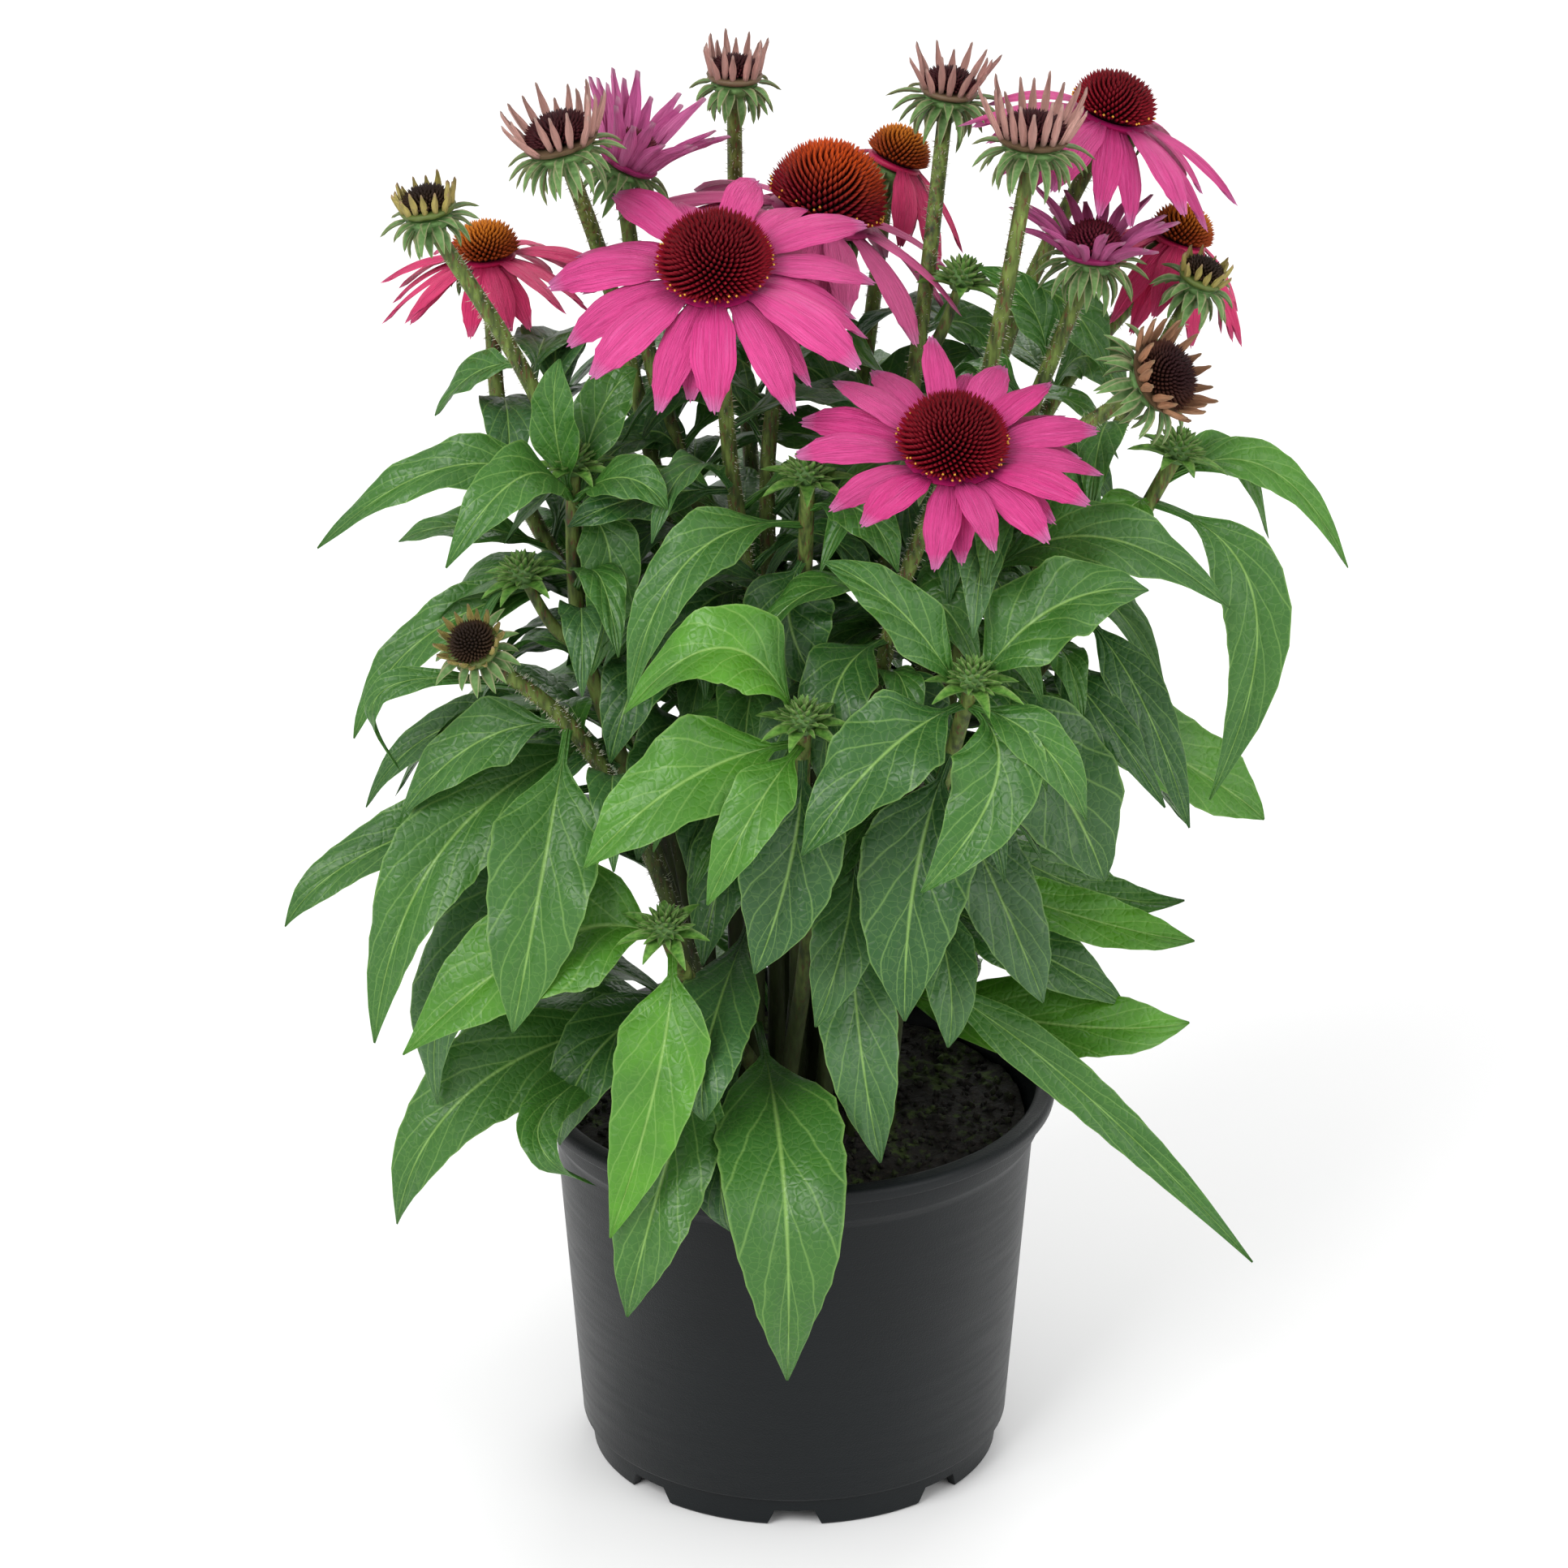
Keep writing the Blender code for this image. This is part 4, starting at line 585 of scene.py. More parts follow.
def head_place(head, shift=0):
    """The matrix that stands a head's own axis and base where the photograph has them."""
    bearing = math.radians(head.bearing)
    lean = math.radians(head.lean)
    axis = Vector((math.cos(bearing) * math.sin(lean), math.sin(bearing) * math.sin(lean), math.cos(lean)))
    base = seen(*head.base, head.back + shift)
    return Matrix.Translation(base) @ axis.to_track_quat("Z", "Y").to_matrix().to_4x4()


def hub_radius(head):
    """The rays of an open bloom start under its cone, and those of a bud stand round it."""
    return head.cone[0] * 0.9 if head.pitch[0] < 40 else head.cone[0] + 1.2


def rays_part(head, place):
    """The hub of a head with a ray drawn out of each of its sides, as points and faces.

    The rays lie in two layers. Where a head has lost a ray its side is shut.
    """
    chance = random.Random("rays " + head.name)
    radius = hub_radius(head)
    count = head.rays
    rows = RAY_ROWS if head.cone[0] > 13 else SMALL_RAY_ROWS
    if head.pitch[0] > 40:
        rows = BUD_RAY_ROWS
    points = []
    for turn, height in ((0, 0.3 + HUB_THICKNESS), (0.5, 0.3)):
        for index in range(count):
            angle = math.tau * (index + turn) / count
            points.append(Vector((radius * math.cos(angle), radius * math.sin(angle), height)))
    faces = [tuple(range(count)), tuple(reversed(range(count, count * 2)))]
    for index in range(count):
        following = (index + 1) % count
        faces.append((following, count + index, count + following))
        bearing = math.tau * (index + 0.5 + chance.uniform(-0.1, 0.1)) / count
        length = head.ray_length * chance.uniform(0.88, 1.04)
        layer = (5 if index % 2 else -5) + chance.uniform(-2, 2)
        pitch = (head.pitch[0] + layer, head.pitch[1] + layer + chance.uniform(-4, 4))
        width = head.ray_width * chance.uniform(0.9, 1.06)
        if is_bare(head, place, bearing):
            faces.append((index, following, count + index))
            continue
        start = Vector((math.cos(bearing), math.sin(bearing), 0)) * radius
        start.z = 0.3 + HUB_THICKNESS / 2
        past = (index, following, count + index)
        new = ray_rows(bearing, start, length, width, pitch, rows)
        for first in range(len(points), len(points) + len(new), 3):
            row = (first, first + 1, first + 2)
            for corner in range(3):
                low, low_next = past[corner], past[(corner + 1) % 3]
                high, high_next = row[corner], row[(corner + 1) % 3]
                faces += [(low, low_next, high_next), (low, high_next, high)]
            past = row
        faces.append(past)
        points += new
    return [place @ point for point in points], faces


def is_bare(head, place, bearing):
    """Whether a head has no ray at this bearing, where it has lost some."""
    if not head.bare:
        return False
    outward = place.to_3x3() @ Vector((math.cos(bearing), math.sin(bearing), 0))
    degrees = math.degrees(math.atan2(outward.y, outward.x)) % 360
    return head.bare[0] < degrees < head.bare[1]


def cone_part(head, place):
    """The cone of a head, standing just clear of the hub."""
    radius, height = head.cone
    lifted = place @ Matrix.Translation((0, 0, 0.5 + HUB_THICKNESS))
    if radius > 13:
        return spiked_dome(lifted, radius - 1.6, height, 6, 16, 2.4)
    if radius > 10:
        return spiked_dome(lifted, radius - 1.4, height, 4, 12, 2.1)
    return spiked_dome(lifted, radius - 1.2, height, 3, 10, 1.8)


def bract_cup(place, low_radius, high_radius, depth, bracts):
    """A cup with whorls of pointed bracts drawn out of its rim, as points and faces."""
    whorls, count, length, pitch = bracts
    sides = count * 2
    rings = [(-depth, low_radius, 0, 0)]
    for whorl in range(whorls):
        share = (whorl + 1) / whorls
        radius = low_radius + (high_radius - low_radius) * share
        height = -depth * (1 - share)
        slope = math.radians(pitch - 30 * (whorls - 1 - whorl))
        rings.append((height - 1.4, radius * 0.95, length * math.cos(slope), length * math.sin(slope)))
        rings.append((height, radius * 0.92, 0, 0))
    points = []
    for number, (height, radius, reach, rise) in enumerate(rings):
        for step in range(sides):
            angle = math.tau * step / sides
            pointed = (step + number // 2) % 2
            distance = radius + reach * pointed
            points.append(
                Vector((distance * math.cos(angle), distance * math.sin(angle), height + rise * pointed))
            )
    return [place @ point for point in points], ring_faces(len(rings), sides)


def cup_part(head, place):
    """The cup under a head with its bracts."""
    radius = hub_radius(head)
    lowered = place @ Matrix.Translation((0, 0, -0.8))
    return bract_cup(lowered, STEM_RADIUS * 1.2, radius * 0.9, CUP_DEPTH, head.bracts)


def tip_parts(point, below):
    """A shut green bud in its rosette of small leaves, at the tip of a shoot."""
    axis = ((point - below).normalized() + UP).normalized()
    place = Matrix.Translation(point) @ axis.to_track_quat("Z", "Y").to_matrix().to_4x4()
    return [spiked_dome(place @ Matrix.Translation((0, 0, -2)), 6, 9, 3, 8, 3.6, 0.7, 13)]


class Space:
    """What has been placed so far, so that the next piece can be bent clear of it."""

    def __init__(self):
        self.items = []

    def add(self, node, part):
        self.items.append((node, *self.bounds(part[0]), BVHTree.FromPolygons(*part)))

    def add_object(self, obj):
        mesh = obj.data
        points = [corner.co / MM for corner in mesh.vertices]
        self.add(obj.name, (points, [tuple(face.vertices) for face in mesh.polygons]))

    def bounds(self, points):
        low = [min(point[axis] for point in points) for axis in range(3)]
        high = [max(point[axis] for point in points) for axis in range(3)]
        return low, high

    def is_clear(self, node, part):
        """Whether a part of this node crosses nothing that belongs to another node."""
        low, high = self.bounds(part[0])
        tree = None
        for other, other_low, other_high, other_tree in self.items:
            if other == node:
                continue
            if any(low[a] > other_high[a] or high[a] < other_low[a] for a in range(3)):
                continue
            tree = tree or BVHTree.FromPolygons(*part)
            if tree.overlap(other_tree):
                return False
        return True


def shifts(step, count):
    """No shift, then shifts to and fro of growing size."""
    yield 0
    for index in range(1, count + 1):
        yield -step * index
        yield step * index


def place_heads(space):
    """The matrix of every head, each moved along the line of sight until it is clear."""
    places = {}
    for head in HEADS:
        for shift in shifts(4, 12):
            place = head_place(head, shift)
            parts = [rays_part(head, place), cone_part(head, place), cup_part(head, place)]
            if all(space.is_clear("head " + head.name, part) for part in parts):
                break
        places[head.name] = place
        for part in parts[:-1]:
            space.add("head " + head.name, part)
        space.add("stem_" + head.name, parts[-1])
    return places


def stem_radii(path):
    """A stem is thickest at the soil and thins a little on the way up."""
    last = len(path) - 1
    return [STEM_RADIUS * (1.12 - 0.2 * index / last) for index in range(last + 1)]


def place_stems(space, places):
    """The path of every stem from below the soil to its top, bent clear of what is there."""
    spots = []
    count = len(STEMS) + SPARE_SPOTS
    for index in range(count):
        reach = CROWN_RADIUS * math.sqrt((index + 0.5) / count)
        angle = index * GOLDEN_ANGLE
        spots.append(Vector((reach * math.cos(angle), reach * math.sin(angle), SOIL_TOP)))
    paths = {}
    for stem in sorted(STEMS, key=lambda stem: stem.way[-1][2]):
        low_end = seen(*stem.way[-1])
        wanted = Vector((low_end.x * 0.45, low_end.y * 0.6 + 4, SOIL_TOP))
        spots.sort(key=lambda spot: (spot - wanted).length)
        tries = ((spot, shift) for spot in spots for shift in shifts(4, 8))
        for spot, shift in tries:
            path = stem_path(stem, places, spot, shift)
            parts = branch_parts(stem, path, stem.name in places)
            parts.append(tube(path, [radius + CLEARANCE for radius in stem_radii(path)]))
            if all(space.is_clear("stem_" + stem.name, part) for part in parts):
                break
        spots.remove(spot)
        paths[stem.name] = path
        space.add("stem_" + stem.name, tube(path, stem_radii(path)))
        for part in branch_parts(stem, path, stem.name in places):
            space.add("stem_" + stem.name, part)
    return paths


def stem_path(stem, places, spot, shift):
    """A stem's path from its foot below a spot on the soil up to its head or tip."""
    points = [spot - UP * STEM_SINK, spot + UP * 12]
    points += [seen(column, row, back + shift) for column, row, back in reversed(stem.way)]
    if stem.name in places:
        place = places[stem.name]
        points += [place @ Vector((0, 0, -CUP_DEPTH - 12)), place @ Vector((0, 0, -CUP_DEPTH * 0.5))]
    else:
        points.append(seen(*stem.tips[0]))
    return smooth_path(points, STEM_STEPS)


def branch_parts(stem, path, has_head):
    """The shut buds of a stem, with the side branches that carry them."""
    parts = []
    for number, tip in enumerate(stem.tips):
        point = seen(*tip)
        below = path[-2]
        if has_head or number:
            fork = nearest_on(path, tip[0], tip[1] + 110)
            below = (point + fork) / 2 - UP * 6
            radii = [STEM_RADIUS * share for share in (0.8, 0.7, 0.6)]
            parts.append(tube([fork, below, point], radii))
        parts += tip_parts(point, below)
    return parts


def points_on(path, spacing=3):
    """Points along the straight pieces of a path."""
    points = []
    for start, end in zip(path, path[1:]):
        count = max(1, round((end - start).length / spacing))
        points += [start.lerp(end, step / count) for step in range(count)]
    return points


def nearest_on(path, column, row):
    """The point of a stem that the photograph shows nearest a pixel, clear of its two ends."""
    wanted = Vector((column, row))
    bare = [point for point in points_on(path) if SOIL_TOP + 7 < point.z < path[-1].z - TOP_BARE]
    return min(bare, key=lambda point: (pixel_of(point) - wanted).length)


def leaf_tries(leaf, paths):
    """Ways to place a leaf, the nearest to the photograph first."""
    others = sorted(
        (name for name in paths if name != leaf.stem),
        key=lambda name: (pixel_of(nearest_on(paths[name], *leaf.root)) - Vector(leaf.root)).length,
    )
    for name in (leaf.stem, *others[:5]):
        for size in (1, 0.85, 0.7):
            for slide in (0, -60, 60, -120, 120):
                root = nearest_on(paths[name], leaf.root[0], leaf.root[1] + slide)
                for shift in shifts(5, 7):
                    middle = seen(*leaf.middle, leaf.back[0] + shift * 0.7)
                    tip = seen(*leaf.tip, leaf.back[1] + shift)
                    width = leaf.width * LEAF_SPREAD * size * VIEW_DISTANCE / VIEW_FOCUS
                    facing = leaf_facing(root, tip, leaf.roll)
                    for lift in (0, 7, -7):
                        yield name, root, middle + UP * lift, tip, width, facing


def leaf_facing(root, tip, roll):
    """The way a leaf of the photograph faces: up and towards the camera, then rolled."""
    facing = UP * 0.5 + view_axes()[3] * 0.8
    return Matrix.Rotation(math.radians(roll), 3, (tip - root).normalized()) @ facing


def place_leaves(space, paths):
    """Every leaf of the photograph, front ones first, each bent clear of what is there."""
    placed = []
    for leaf in sorted(LEAVES, key=lambda leaf: leaf.back[1]):
        for name, *curve in leaf_tries(leaf, paths):
            if space.is_clear("stem_" + name, leaf_blade(*curve, extra=CLEARANCE)):
                placed.append((name, curve, leaf.tone))
                space.add("stem_" + name, leaf_blade(*curve))
                break
    return placed


def fill_leaf(root, bearing, rise, length):
    """The middle and tip of a leaf that arches out from its root and droops."""
    out = Vector((math.cos(bearing), math.sin(bearing), 0))
    middle = root + out * (length * 0.5) + UP * (length * rise)
    tip = root + out * (length * 0.92) + UP * (length * (rise * 0.6 - 0.32))
    return middle, tip


def place_fills(space, paths):
    """Leaves by rule on the sides and back, which the photograph doesn't show."""
    chance = random.Random("fill leaves")
    placed = []
    for stem in STEMS:
        if not stem.fills:
            continue
        node = "stem_" + stem.name
        gone = 0
        turn = chance.uniform(0, math.tau)
        points = points_on(paths[stem.name])
        top = points[-1].z - 78
        for before, root in zip(points, points[1:]):
            gone += (root - before).length
            if root.z < SOIL_TOP + 16 or root.z > top or gone < FILL_SPACING:
                continue
            gone = 0
            turn += GOLDEN_ANGLE
            share = (root.z - SOIL_TOP) / 300
            length = FILL_LENGTH * (1.12 - 0.4 * share) * chance.uniform(0.85, 1.1)
            width = FILL_WIDTH * (1.1 - 0.3 * share) * chance.uniform(0.85, 1.1)
            rise = chance.uniform(0.05, 0.3)
            for size, swing in ((size, swing) for size in (1, 0.75) for swing in shifts(0.3, 8)):
                middle, tip = fill_leaf(root, turn + swing, rise, length * size)
                outward = Vector((tip.x - root.x, tip.y - root.y, 0)).normalized()
                curve = (root, middle, tip, width * size, UP + outward * 0.4)
                if tip.y > FILL_FRONT and space.is_clear(node, leaf_blade(*curve, CLEARANCE)):
                    placed.append((stem.name, curve, "mid"))
                    space.add(node, leaf_blade(*curve))
                    break
    return placed


def soil_height(x, y):
    """The soil's surface, which is uneven and a little higher round the crown."""
    mound = 3 * math.exp(-((x * x + y * y) / 1400))
    swell = 0.9 * math.sin(x * 0.13 + 1) * math.cos(y * 0.11)
    ripple = 0.5 * math.sin(x * 0.31 - y * 0.27)
    return SOIL_TOP + mound + swell + ripple


def soil_part():
    """The soil as a block that fills the pot, with an uneven top."""
    body_rise = (SOIL_TOP - POT_FLOOR) / (POT_COLLAR_FOOT - POT_SEAM_HEIGHT)
    reach = POT_BODY_FOOT_RADIUS + (POT_BODY_TOP_RADIUS - POT_BODY_FOOT_RADIUS) * min(body_rise, 1)
    top_radius = reach - POT_WALL - SOIL_GAP
    floor_radius = POT_BODY_FOOT_RADIUS - POT_WALL - SOIL_GAP - 0.4
    floor = POT_FLOOR + POT_WALL + SOIL_GAP
    points = [Vector((0, 0, soil_height(0, 0)))]
    for ring in range(1, SOIL_RINGS + 1):
        radius = (top_radius - 0.6) * ring / SOIL_RINGS
        for spoke in range(SOIL_SPOKES):
            angle = math.tau * spoke / SOIL_SPOKES
            x, y = radius * math.cos(angle), radius * math.sin(angle)
            points.append(Vector((x, y, soil_height(x, y))))
    for spoke in range(SOIL_SPOKES):
        angle = math.tau * spoke / SOIL_SPOKES
        points.append(Vector((floor_radius * math.cos(angle), floor_radius * math.sin(angle), floor)))
    points.append(Vector((0, 0, floor)))
    faces = []
    end = len(points) - 1
    for spoke in range(SOIL_SPOKES):
        following = (spoke + 1) % SOIL_SPOKES
        faces.append((0, 1 + spoke, 1 + following))
        for ring in range(SOIL_RINGS):
            low = 1 + ring * SOIL_SPOKES
            high = low + SOIL_SPOKES
            faces.append((low + spoke, high + spoke, high + following))
            faces.append((low + spoke, high + following, low + following))
        last = 1 + SOIL_RINGS * SOIL_SPOKES
        faces.append((end, last + following, last + spoke))
    return points, faces


class Skin:
    """The points, faces and markings of one piece, gathered before it is made a mesh.

    marks are three numbers for each point, whose meaning each finish gives, and spots are a
    point's place across and along its own leaf or petal.
    """

    def __init__(self):
        self.points = []
        self.faces = []
        self.finishes = []
        self.marks = []
        self.spots = []

    def add(self, points, faces, finish, marks, spots=None):
        first = len(self.points)
        self.points += points
        self.faces += [tuple(first + index for index in face) for face in faces]
        self.finishes += [finish] * len(faces)
        self.marks += marks if isinstance(marks, list) else [marks] * len(points)
        self.spots += spots or [(0.5, 0.5)] * len(points)

    def piece(self, name, node, slot, materials):
        """Makes the mesh, which stands for one CAD node."""
        mesh = bpy.data.meshes.new(name)
        mesh.from_pydata([point * MM for point in self.points], [], self.faces)
        for material in materials:
            mesh.materials.append(material)
        mesh.polygons.foreach_set("material_index", self.finishes)
        mesh.polygons.foreach_set("use_smooth", [True] * len(self.faces))
        mesh.set_sharp_from_angle(angle=RIM_ANGLE)
        colours = np.ones((len(self.points), 4), np.float32)
        colours[:, :3] = self.marks
        layer = mesh.color_attributes.new("marks", "FLOAT_COLOR", "POINT")
        layer.data.foreach_set("color", colours.ravel())
        corners = np.empty(len(mesh.loops), np.int32)
        mesh.loops.foreach_get("vertex_index", corners)
        spots = np.array(self.spots, np.float32)[corners]
        mesh.uv_layers.new(name="spots").data.foreach_set("uv", spots.ravel())
        mesh.validate()
        obj = bpy.data.objects.new(name, mesh)
        bpy.context.scene.collection.objects.link(obj)
        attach(obj, "root")
        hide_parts(node)
        return obj


def sheet(rows, thickness):
    """A closed blade from rows of (point, normal), thick in the middle and thin at its edges."""
    height, width = len(rows), len(rows[0])
    points, under = [], {}
    for row, thicks in zip(rows, thickness):
        points += [point + normal * (thick / 2) for (point, normal), thick in zip(row, thicks)]
    for r, row in enumerate(rows):
        for c, (point, normal) in enumerate(row):
            if 0 < r < height - 1 and 0 < c < width - 1:
                under[r, c] = len(points)
                points.append(point - normal * (thickness[r][c] / 2))

    def low(r, c):
        return under.get((r, c), r * width + c)

    faces = []
    for r in range(height - 1):
        for c in range(width - 1):
            top = r * width + c
            faces.append((top, top + 1, top + width + 1, top + width))
            faces.append((low(r, c), low(r + 1, c), low(r + 1, c + 1), low(r, c + 1)))
    order = list(range(height * width)) + [r * width + c for r, c in under]
    return points, faces, order


def eased(rows, share, column):
    """A column of a table of rows, at a share along it, with soft turns at the rows."""
    before = rows[0]
    for row in rows:
        if share <= row[0]:
            if row[0] == before[0]:
                return row[column]
            part = (share - before[0]) / (row[0] - before[0])
            part = (1 - math.cos(math.pi * part)) / 2
            return before[column] + (row[column] - before[column]) * part
        before = row
    return rows[-1][column]


def leaf_outline(share):
    """The share of a leaf's full half width: a stalk, a broad middle and a long drawn-out tip."""
    if share < LEAF_STALK:
        return 0.0
    if share < LEAF_BROADEST:
        part = (share - LEAF_STALK) / (LEAF_BROADEST - LEAF_STALK)
        return math.sin(math.pi / 2 * part) ** 1.3
    part = (share - LEAF_BROADEST) / (1 - LEAF_BROADEST)
    return max(0.0, 1 - part**2.2) * (1 - 0.25 * part**6)


def leaf_table(width):
    """The rows that the solid leaf of this width has."""
    if width < SMALL_LEAF:
        return SMALL_LEAF_ROWS
    return LEAF_ROWS if width > LARGE_LEAF else MIDDLING_LEAF_ROWS


def place_sprigs(space, paths):
    """Small upper leaves of the flower stems, where nothing else is in their way."""
    chance = random.Random("sprigs")
    placed = []
    for stem in STEMS:
        node = "stem_" + stem.name
        gone = SPRIG_SPACING
        turn = chance.uniform(0, math.tau)
        points = points_on(paths[stem.name])
        for before, root in zip(points, points[1:]):
            gone += (root - before).length
            if gone < SPRIG_SPACING or not SPRIG_LOW < root.z < min(SPRIG_HIGH, points[-1].z - 40):
                continue
            gone = 0
            turn += GOLDEN_ANGLE
            length = chance.uniform(*SPRIG_LENGTHS)
            rise = chance.uniform(0.1, 0.35)
            tone = chance.choice(("mid", "dark", "mid", "grey"))
            for size, swing in ((size, swing) for size in (1, 0.75) for swing in shifts(0.35, 8)):
                middle, tip = fill_leaf(root, turn + swing, rise, length * size)
                outward = Vector((tip.x - root.x, tip.y - root.y, 0)).normalized()
                curve = (root, middle, tip, length * size * SPRIG_WIDTH, UP + outward * 0.4)
                blade = leaf_blade(*curve, CLEARANCE)
                if Vector((tip.x, tip.y)).length < SPRIG_REACH and space.is_clear(node, blade):
                    placed.append((stem.name, curve, tone))
                    space.add(node, leaf_blade(*curve))
                    break
    return placed


def fine_leaf(skin, curve, tone, chance):
    """A leaf with toothed, waved edges, a thick midrib along its fold and a puckered surface."""
    root, middle, tip, width, facing = curve
    length = (middle - root).length + (tip - middle).length
    across = (tip - root).cross(facing)
    table = leaf_table(width)
    lean = chance.uniform(-0.25, 0.25)
    teeth = max(5, round(length / TOOTH_SPACING))
    swell = chance.uniform(0.07, 0.15)
    ripple_turn = chance.uniform(0, math.tau)
    ruffle = chance.uniform(0.07, 0.2)
    pace = chance.uniform(15, 24)
    rows, thickness, spots = [], [], []
    for step in range(LEAF_STEPS + 1):
        share = step / LEAF_STEPS
        point, along = bend(root, middle, tip, share)
        side = (across - along * across.dot(along)).normalized()
        normal = side.cross(along)
        spread = leaf_outline(share)
        tooth = abs((share * teeth) % 1 - 0.35)
        half = PETIOLE_WIDTH / 2 * (1 - 0.8 * share) + (width / 2 - PETIOLE_WIDTH / 4) * spread
        half *= 1 - TOOTH_DEPTH * tooth * min(1, spread * 3)
        wave = eased(table, share, 2) * half * LEAF_WAVE
        row, thick, row_spots = [], [], []
        for c in LEAF_COLUMNS:
            out = abs(c)
            lift = half * LEAF_FOLD * (out**1.2) + wave * c * out * (1 + 0.2 * lean)
            lift += half * swell * math.sin(math.pi * min(1, out * 1.05)) * min(1, spread * 2)
            lift += math.sin(share * pace + ripple_turn + c * 1.3) * half * ruffle * out**2
            lift += PUCKER * math.cos(math.tau * (share * 6.5 - out * 0.9)) * out * (1 - out) * 4 * spread
            row.append((point + side * (half * c) + normal * lift, normal))
            rib = RIB_THICKNESS * math.exp(-((c / 0.1) ** 2)) * (1 - 0.7 * share)
            thick.append(LEAF_THICKNESS + rib + STALK_THICKNESS * max(0, 1 - share / 0.22) * (1 - out))
            row_spots.append((0.5 + c / 2, share))
        rows.append(row)
        thickness.append(thick)
        spots += row_spots
    points, faces, order = sheet(rows, thickness)
    mark = (TONES[tone], chance.random(), min(1.0, width / 45))
    skin.add(points, faces, LEAF, mark, [spots[index] for index in order])


def fine_strip(start, bearing, length, width, pitch, spread_rows, shape, twist=0.0):
    """A narrow blade that leaves a head at a bearing and bends from one pitch to another.

    shape holds its steps, columns, hollow, grooves, notch and thickness.
    """
    outward = Vector((math.cos(bearing), math.sin(bearing), 0))
    side = Vector((-math.sin(bearing), math.cos(bearing), 0))
    rows, thickness, spots = [], [], []
    columns = [-1 + 2 * index / (shape.columns - 1) for index in range(shape.columns)]
    spine = [(start.copy(), 0.0)]
    for step in range(1, shape.steps + 1):
        angle = math.radians(pitch[0] + (pitch[1] - pitch[0]) * (step - 0.5) / shape.steps)
        ahead = outward * math.cos(angle) + UP * math.sin(angle)
        spine.append((spine[-1][0] + ahead * (length / shape.steps), step / shape.steps))
    for point, share in spine:
        angle = math.radians(pitch[0] + (pitch[1] - pitch[0]) * share)
        ahead = outward * math.cos(angle) + UP * math.sin(angle)
        above = UP * math.cos(angle) - outward * math.sin(angle)
        flank = side * math.cos(twist * share) + above * math.sin(twist * share)
        above = above * math.cos(twist * share) - side * math.sin(twist * share)
        half = width / 2 * eased(spread_rows, share, 1)
        row, thick, row_spots = [], [], []
        for c in columns:
            ridge = math.cos(math.tau * 1.5 * (c + 1))
            lift = shape.hollow * half * c * c - shape.grooves * ridge * (1 - c**4)
            reach = shape.notch * share**6 * (0.25 - 0.25 * ridge - 0.9 * c**4)
            row.append((point + flank * (half * c) + above * lift + ahead * reach, above))
            thick.append(shape.thickness)
            row_spots.append((0.5 + c / 2, share))
        rows.append(row)
        thickness.append(thick)
        spots += row_spots
    points, faces, order = sheet(rows, thickness)
    return points, faces, [spots[index] for index in order]


def fine_rays(skin, head, place):
    """The rays of a head, grooved lengthwise and notched at the tip, round a thin hub."""
    chance = random.Random("rays " + head.name)
    looks = random.Random("looks " + head.name)
    radius = hub_radius(head)
    bud = head.pitch[0] > 40
    shape = BUD_RAY if bud else OPEN_RAY
    table = BUD_RAY_SPREAD if bud else OPEN_RAY_SPREAD
    for index in range(head.rays):
        bearing = math.tau * (index + 0.5 + chance.uniform(-0.1, 0.1)) / head.rays
        length = head.ray_length * chance.uniform(0.88, 1.04)
        layer = (5 if index % 2 else -5) + chance.uniform(-2, 2)
        pitch = (head.pitch[0] + layer, head.pitch[1] + layer + chance.uniform(-4, 4))
        width = head.ray_width * chance.uniform(0.9, 1.06)
        if is_bare(head, place, bearing):
            continue
        for extra in (0, 1):
            turned = bearing + extra * math.pi / head.rays + looks.uniform(-0.05, 0.05)
            if extra and (is_bare(head, place, turned) or (index % 2 and not bud)):
                continue
            start = Vector((math.cos(turned), math.sin(turned), 0)) * (radius - 1)
            start.z = 0.3 + HUB_THICKNESS / 2 + (0.5 if index % 2 else -0.3) - 0.8 * extra
            long = (length + 1) * (1 if not extra else looks.uniform(0.8, 0.98))
            wide = width * (0.85 if bud else 1.06 - 0.16 * extra)
            sink = extra * (looks.uniform(-8, 8) if bud else looks.uniform(2, 7))
            slopes = (pitch[0] - sink, pitch[1] - sink)
            roll = looks.uniform(-0.2, 0.2) if bud else looks.uniform(-0.6, 0.6)
            points, faces, spots = fine_strip(start, turned, long, wide, slopes, table, shape, roll)
            mark = (looks.random(), looks.random(), 0.0)
            skin.add([place @ point for point in points], faces, 0, mark, spots)
    top = 0.3 + HUB_THICKNESS
    section = ((0, 0.3), (radius * 0.95, 0.3), (radius * 1.03, top - 0.4), (radius * 0.9, top), (0, top))
    points, faces = lathe(section, 24)
    skin.add([place @ point for point in points], faces, 0, (0.3, 0.0, 0.0), [(0.5, 0.0)] * len(points))


def lathe(profile, sides):
    """A profile turned about the Z axis, with its first and last points on the axis."""
    points = [Vector((0, 0, profile[0][1]))]
    rim = profile[1:-1]
    for radius, height in rim:
        for step in range(sides):
            angle = math.tau * step / sides
            points.append(Vector((radius * math.cos(angle), radius * math.sin(angle), height)))
    points.append(Vector((0, 0, profile[-1][1])))
    end = len(points) - 1
    last = 1 + (len(rim) - 1) * sides
    faces = []
    for step in range(sides):
        following = (step + 1) % sides
        faces.append((0, 1 + following, 1 + step))
        faces.append((end, last + step, last + following))
        for row in range(len(rim) - 1):
            low = 1 + row * sides
            faces.append((low + step, low + following, low + sides + following, low + sides + step))
    return points, faces


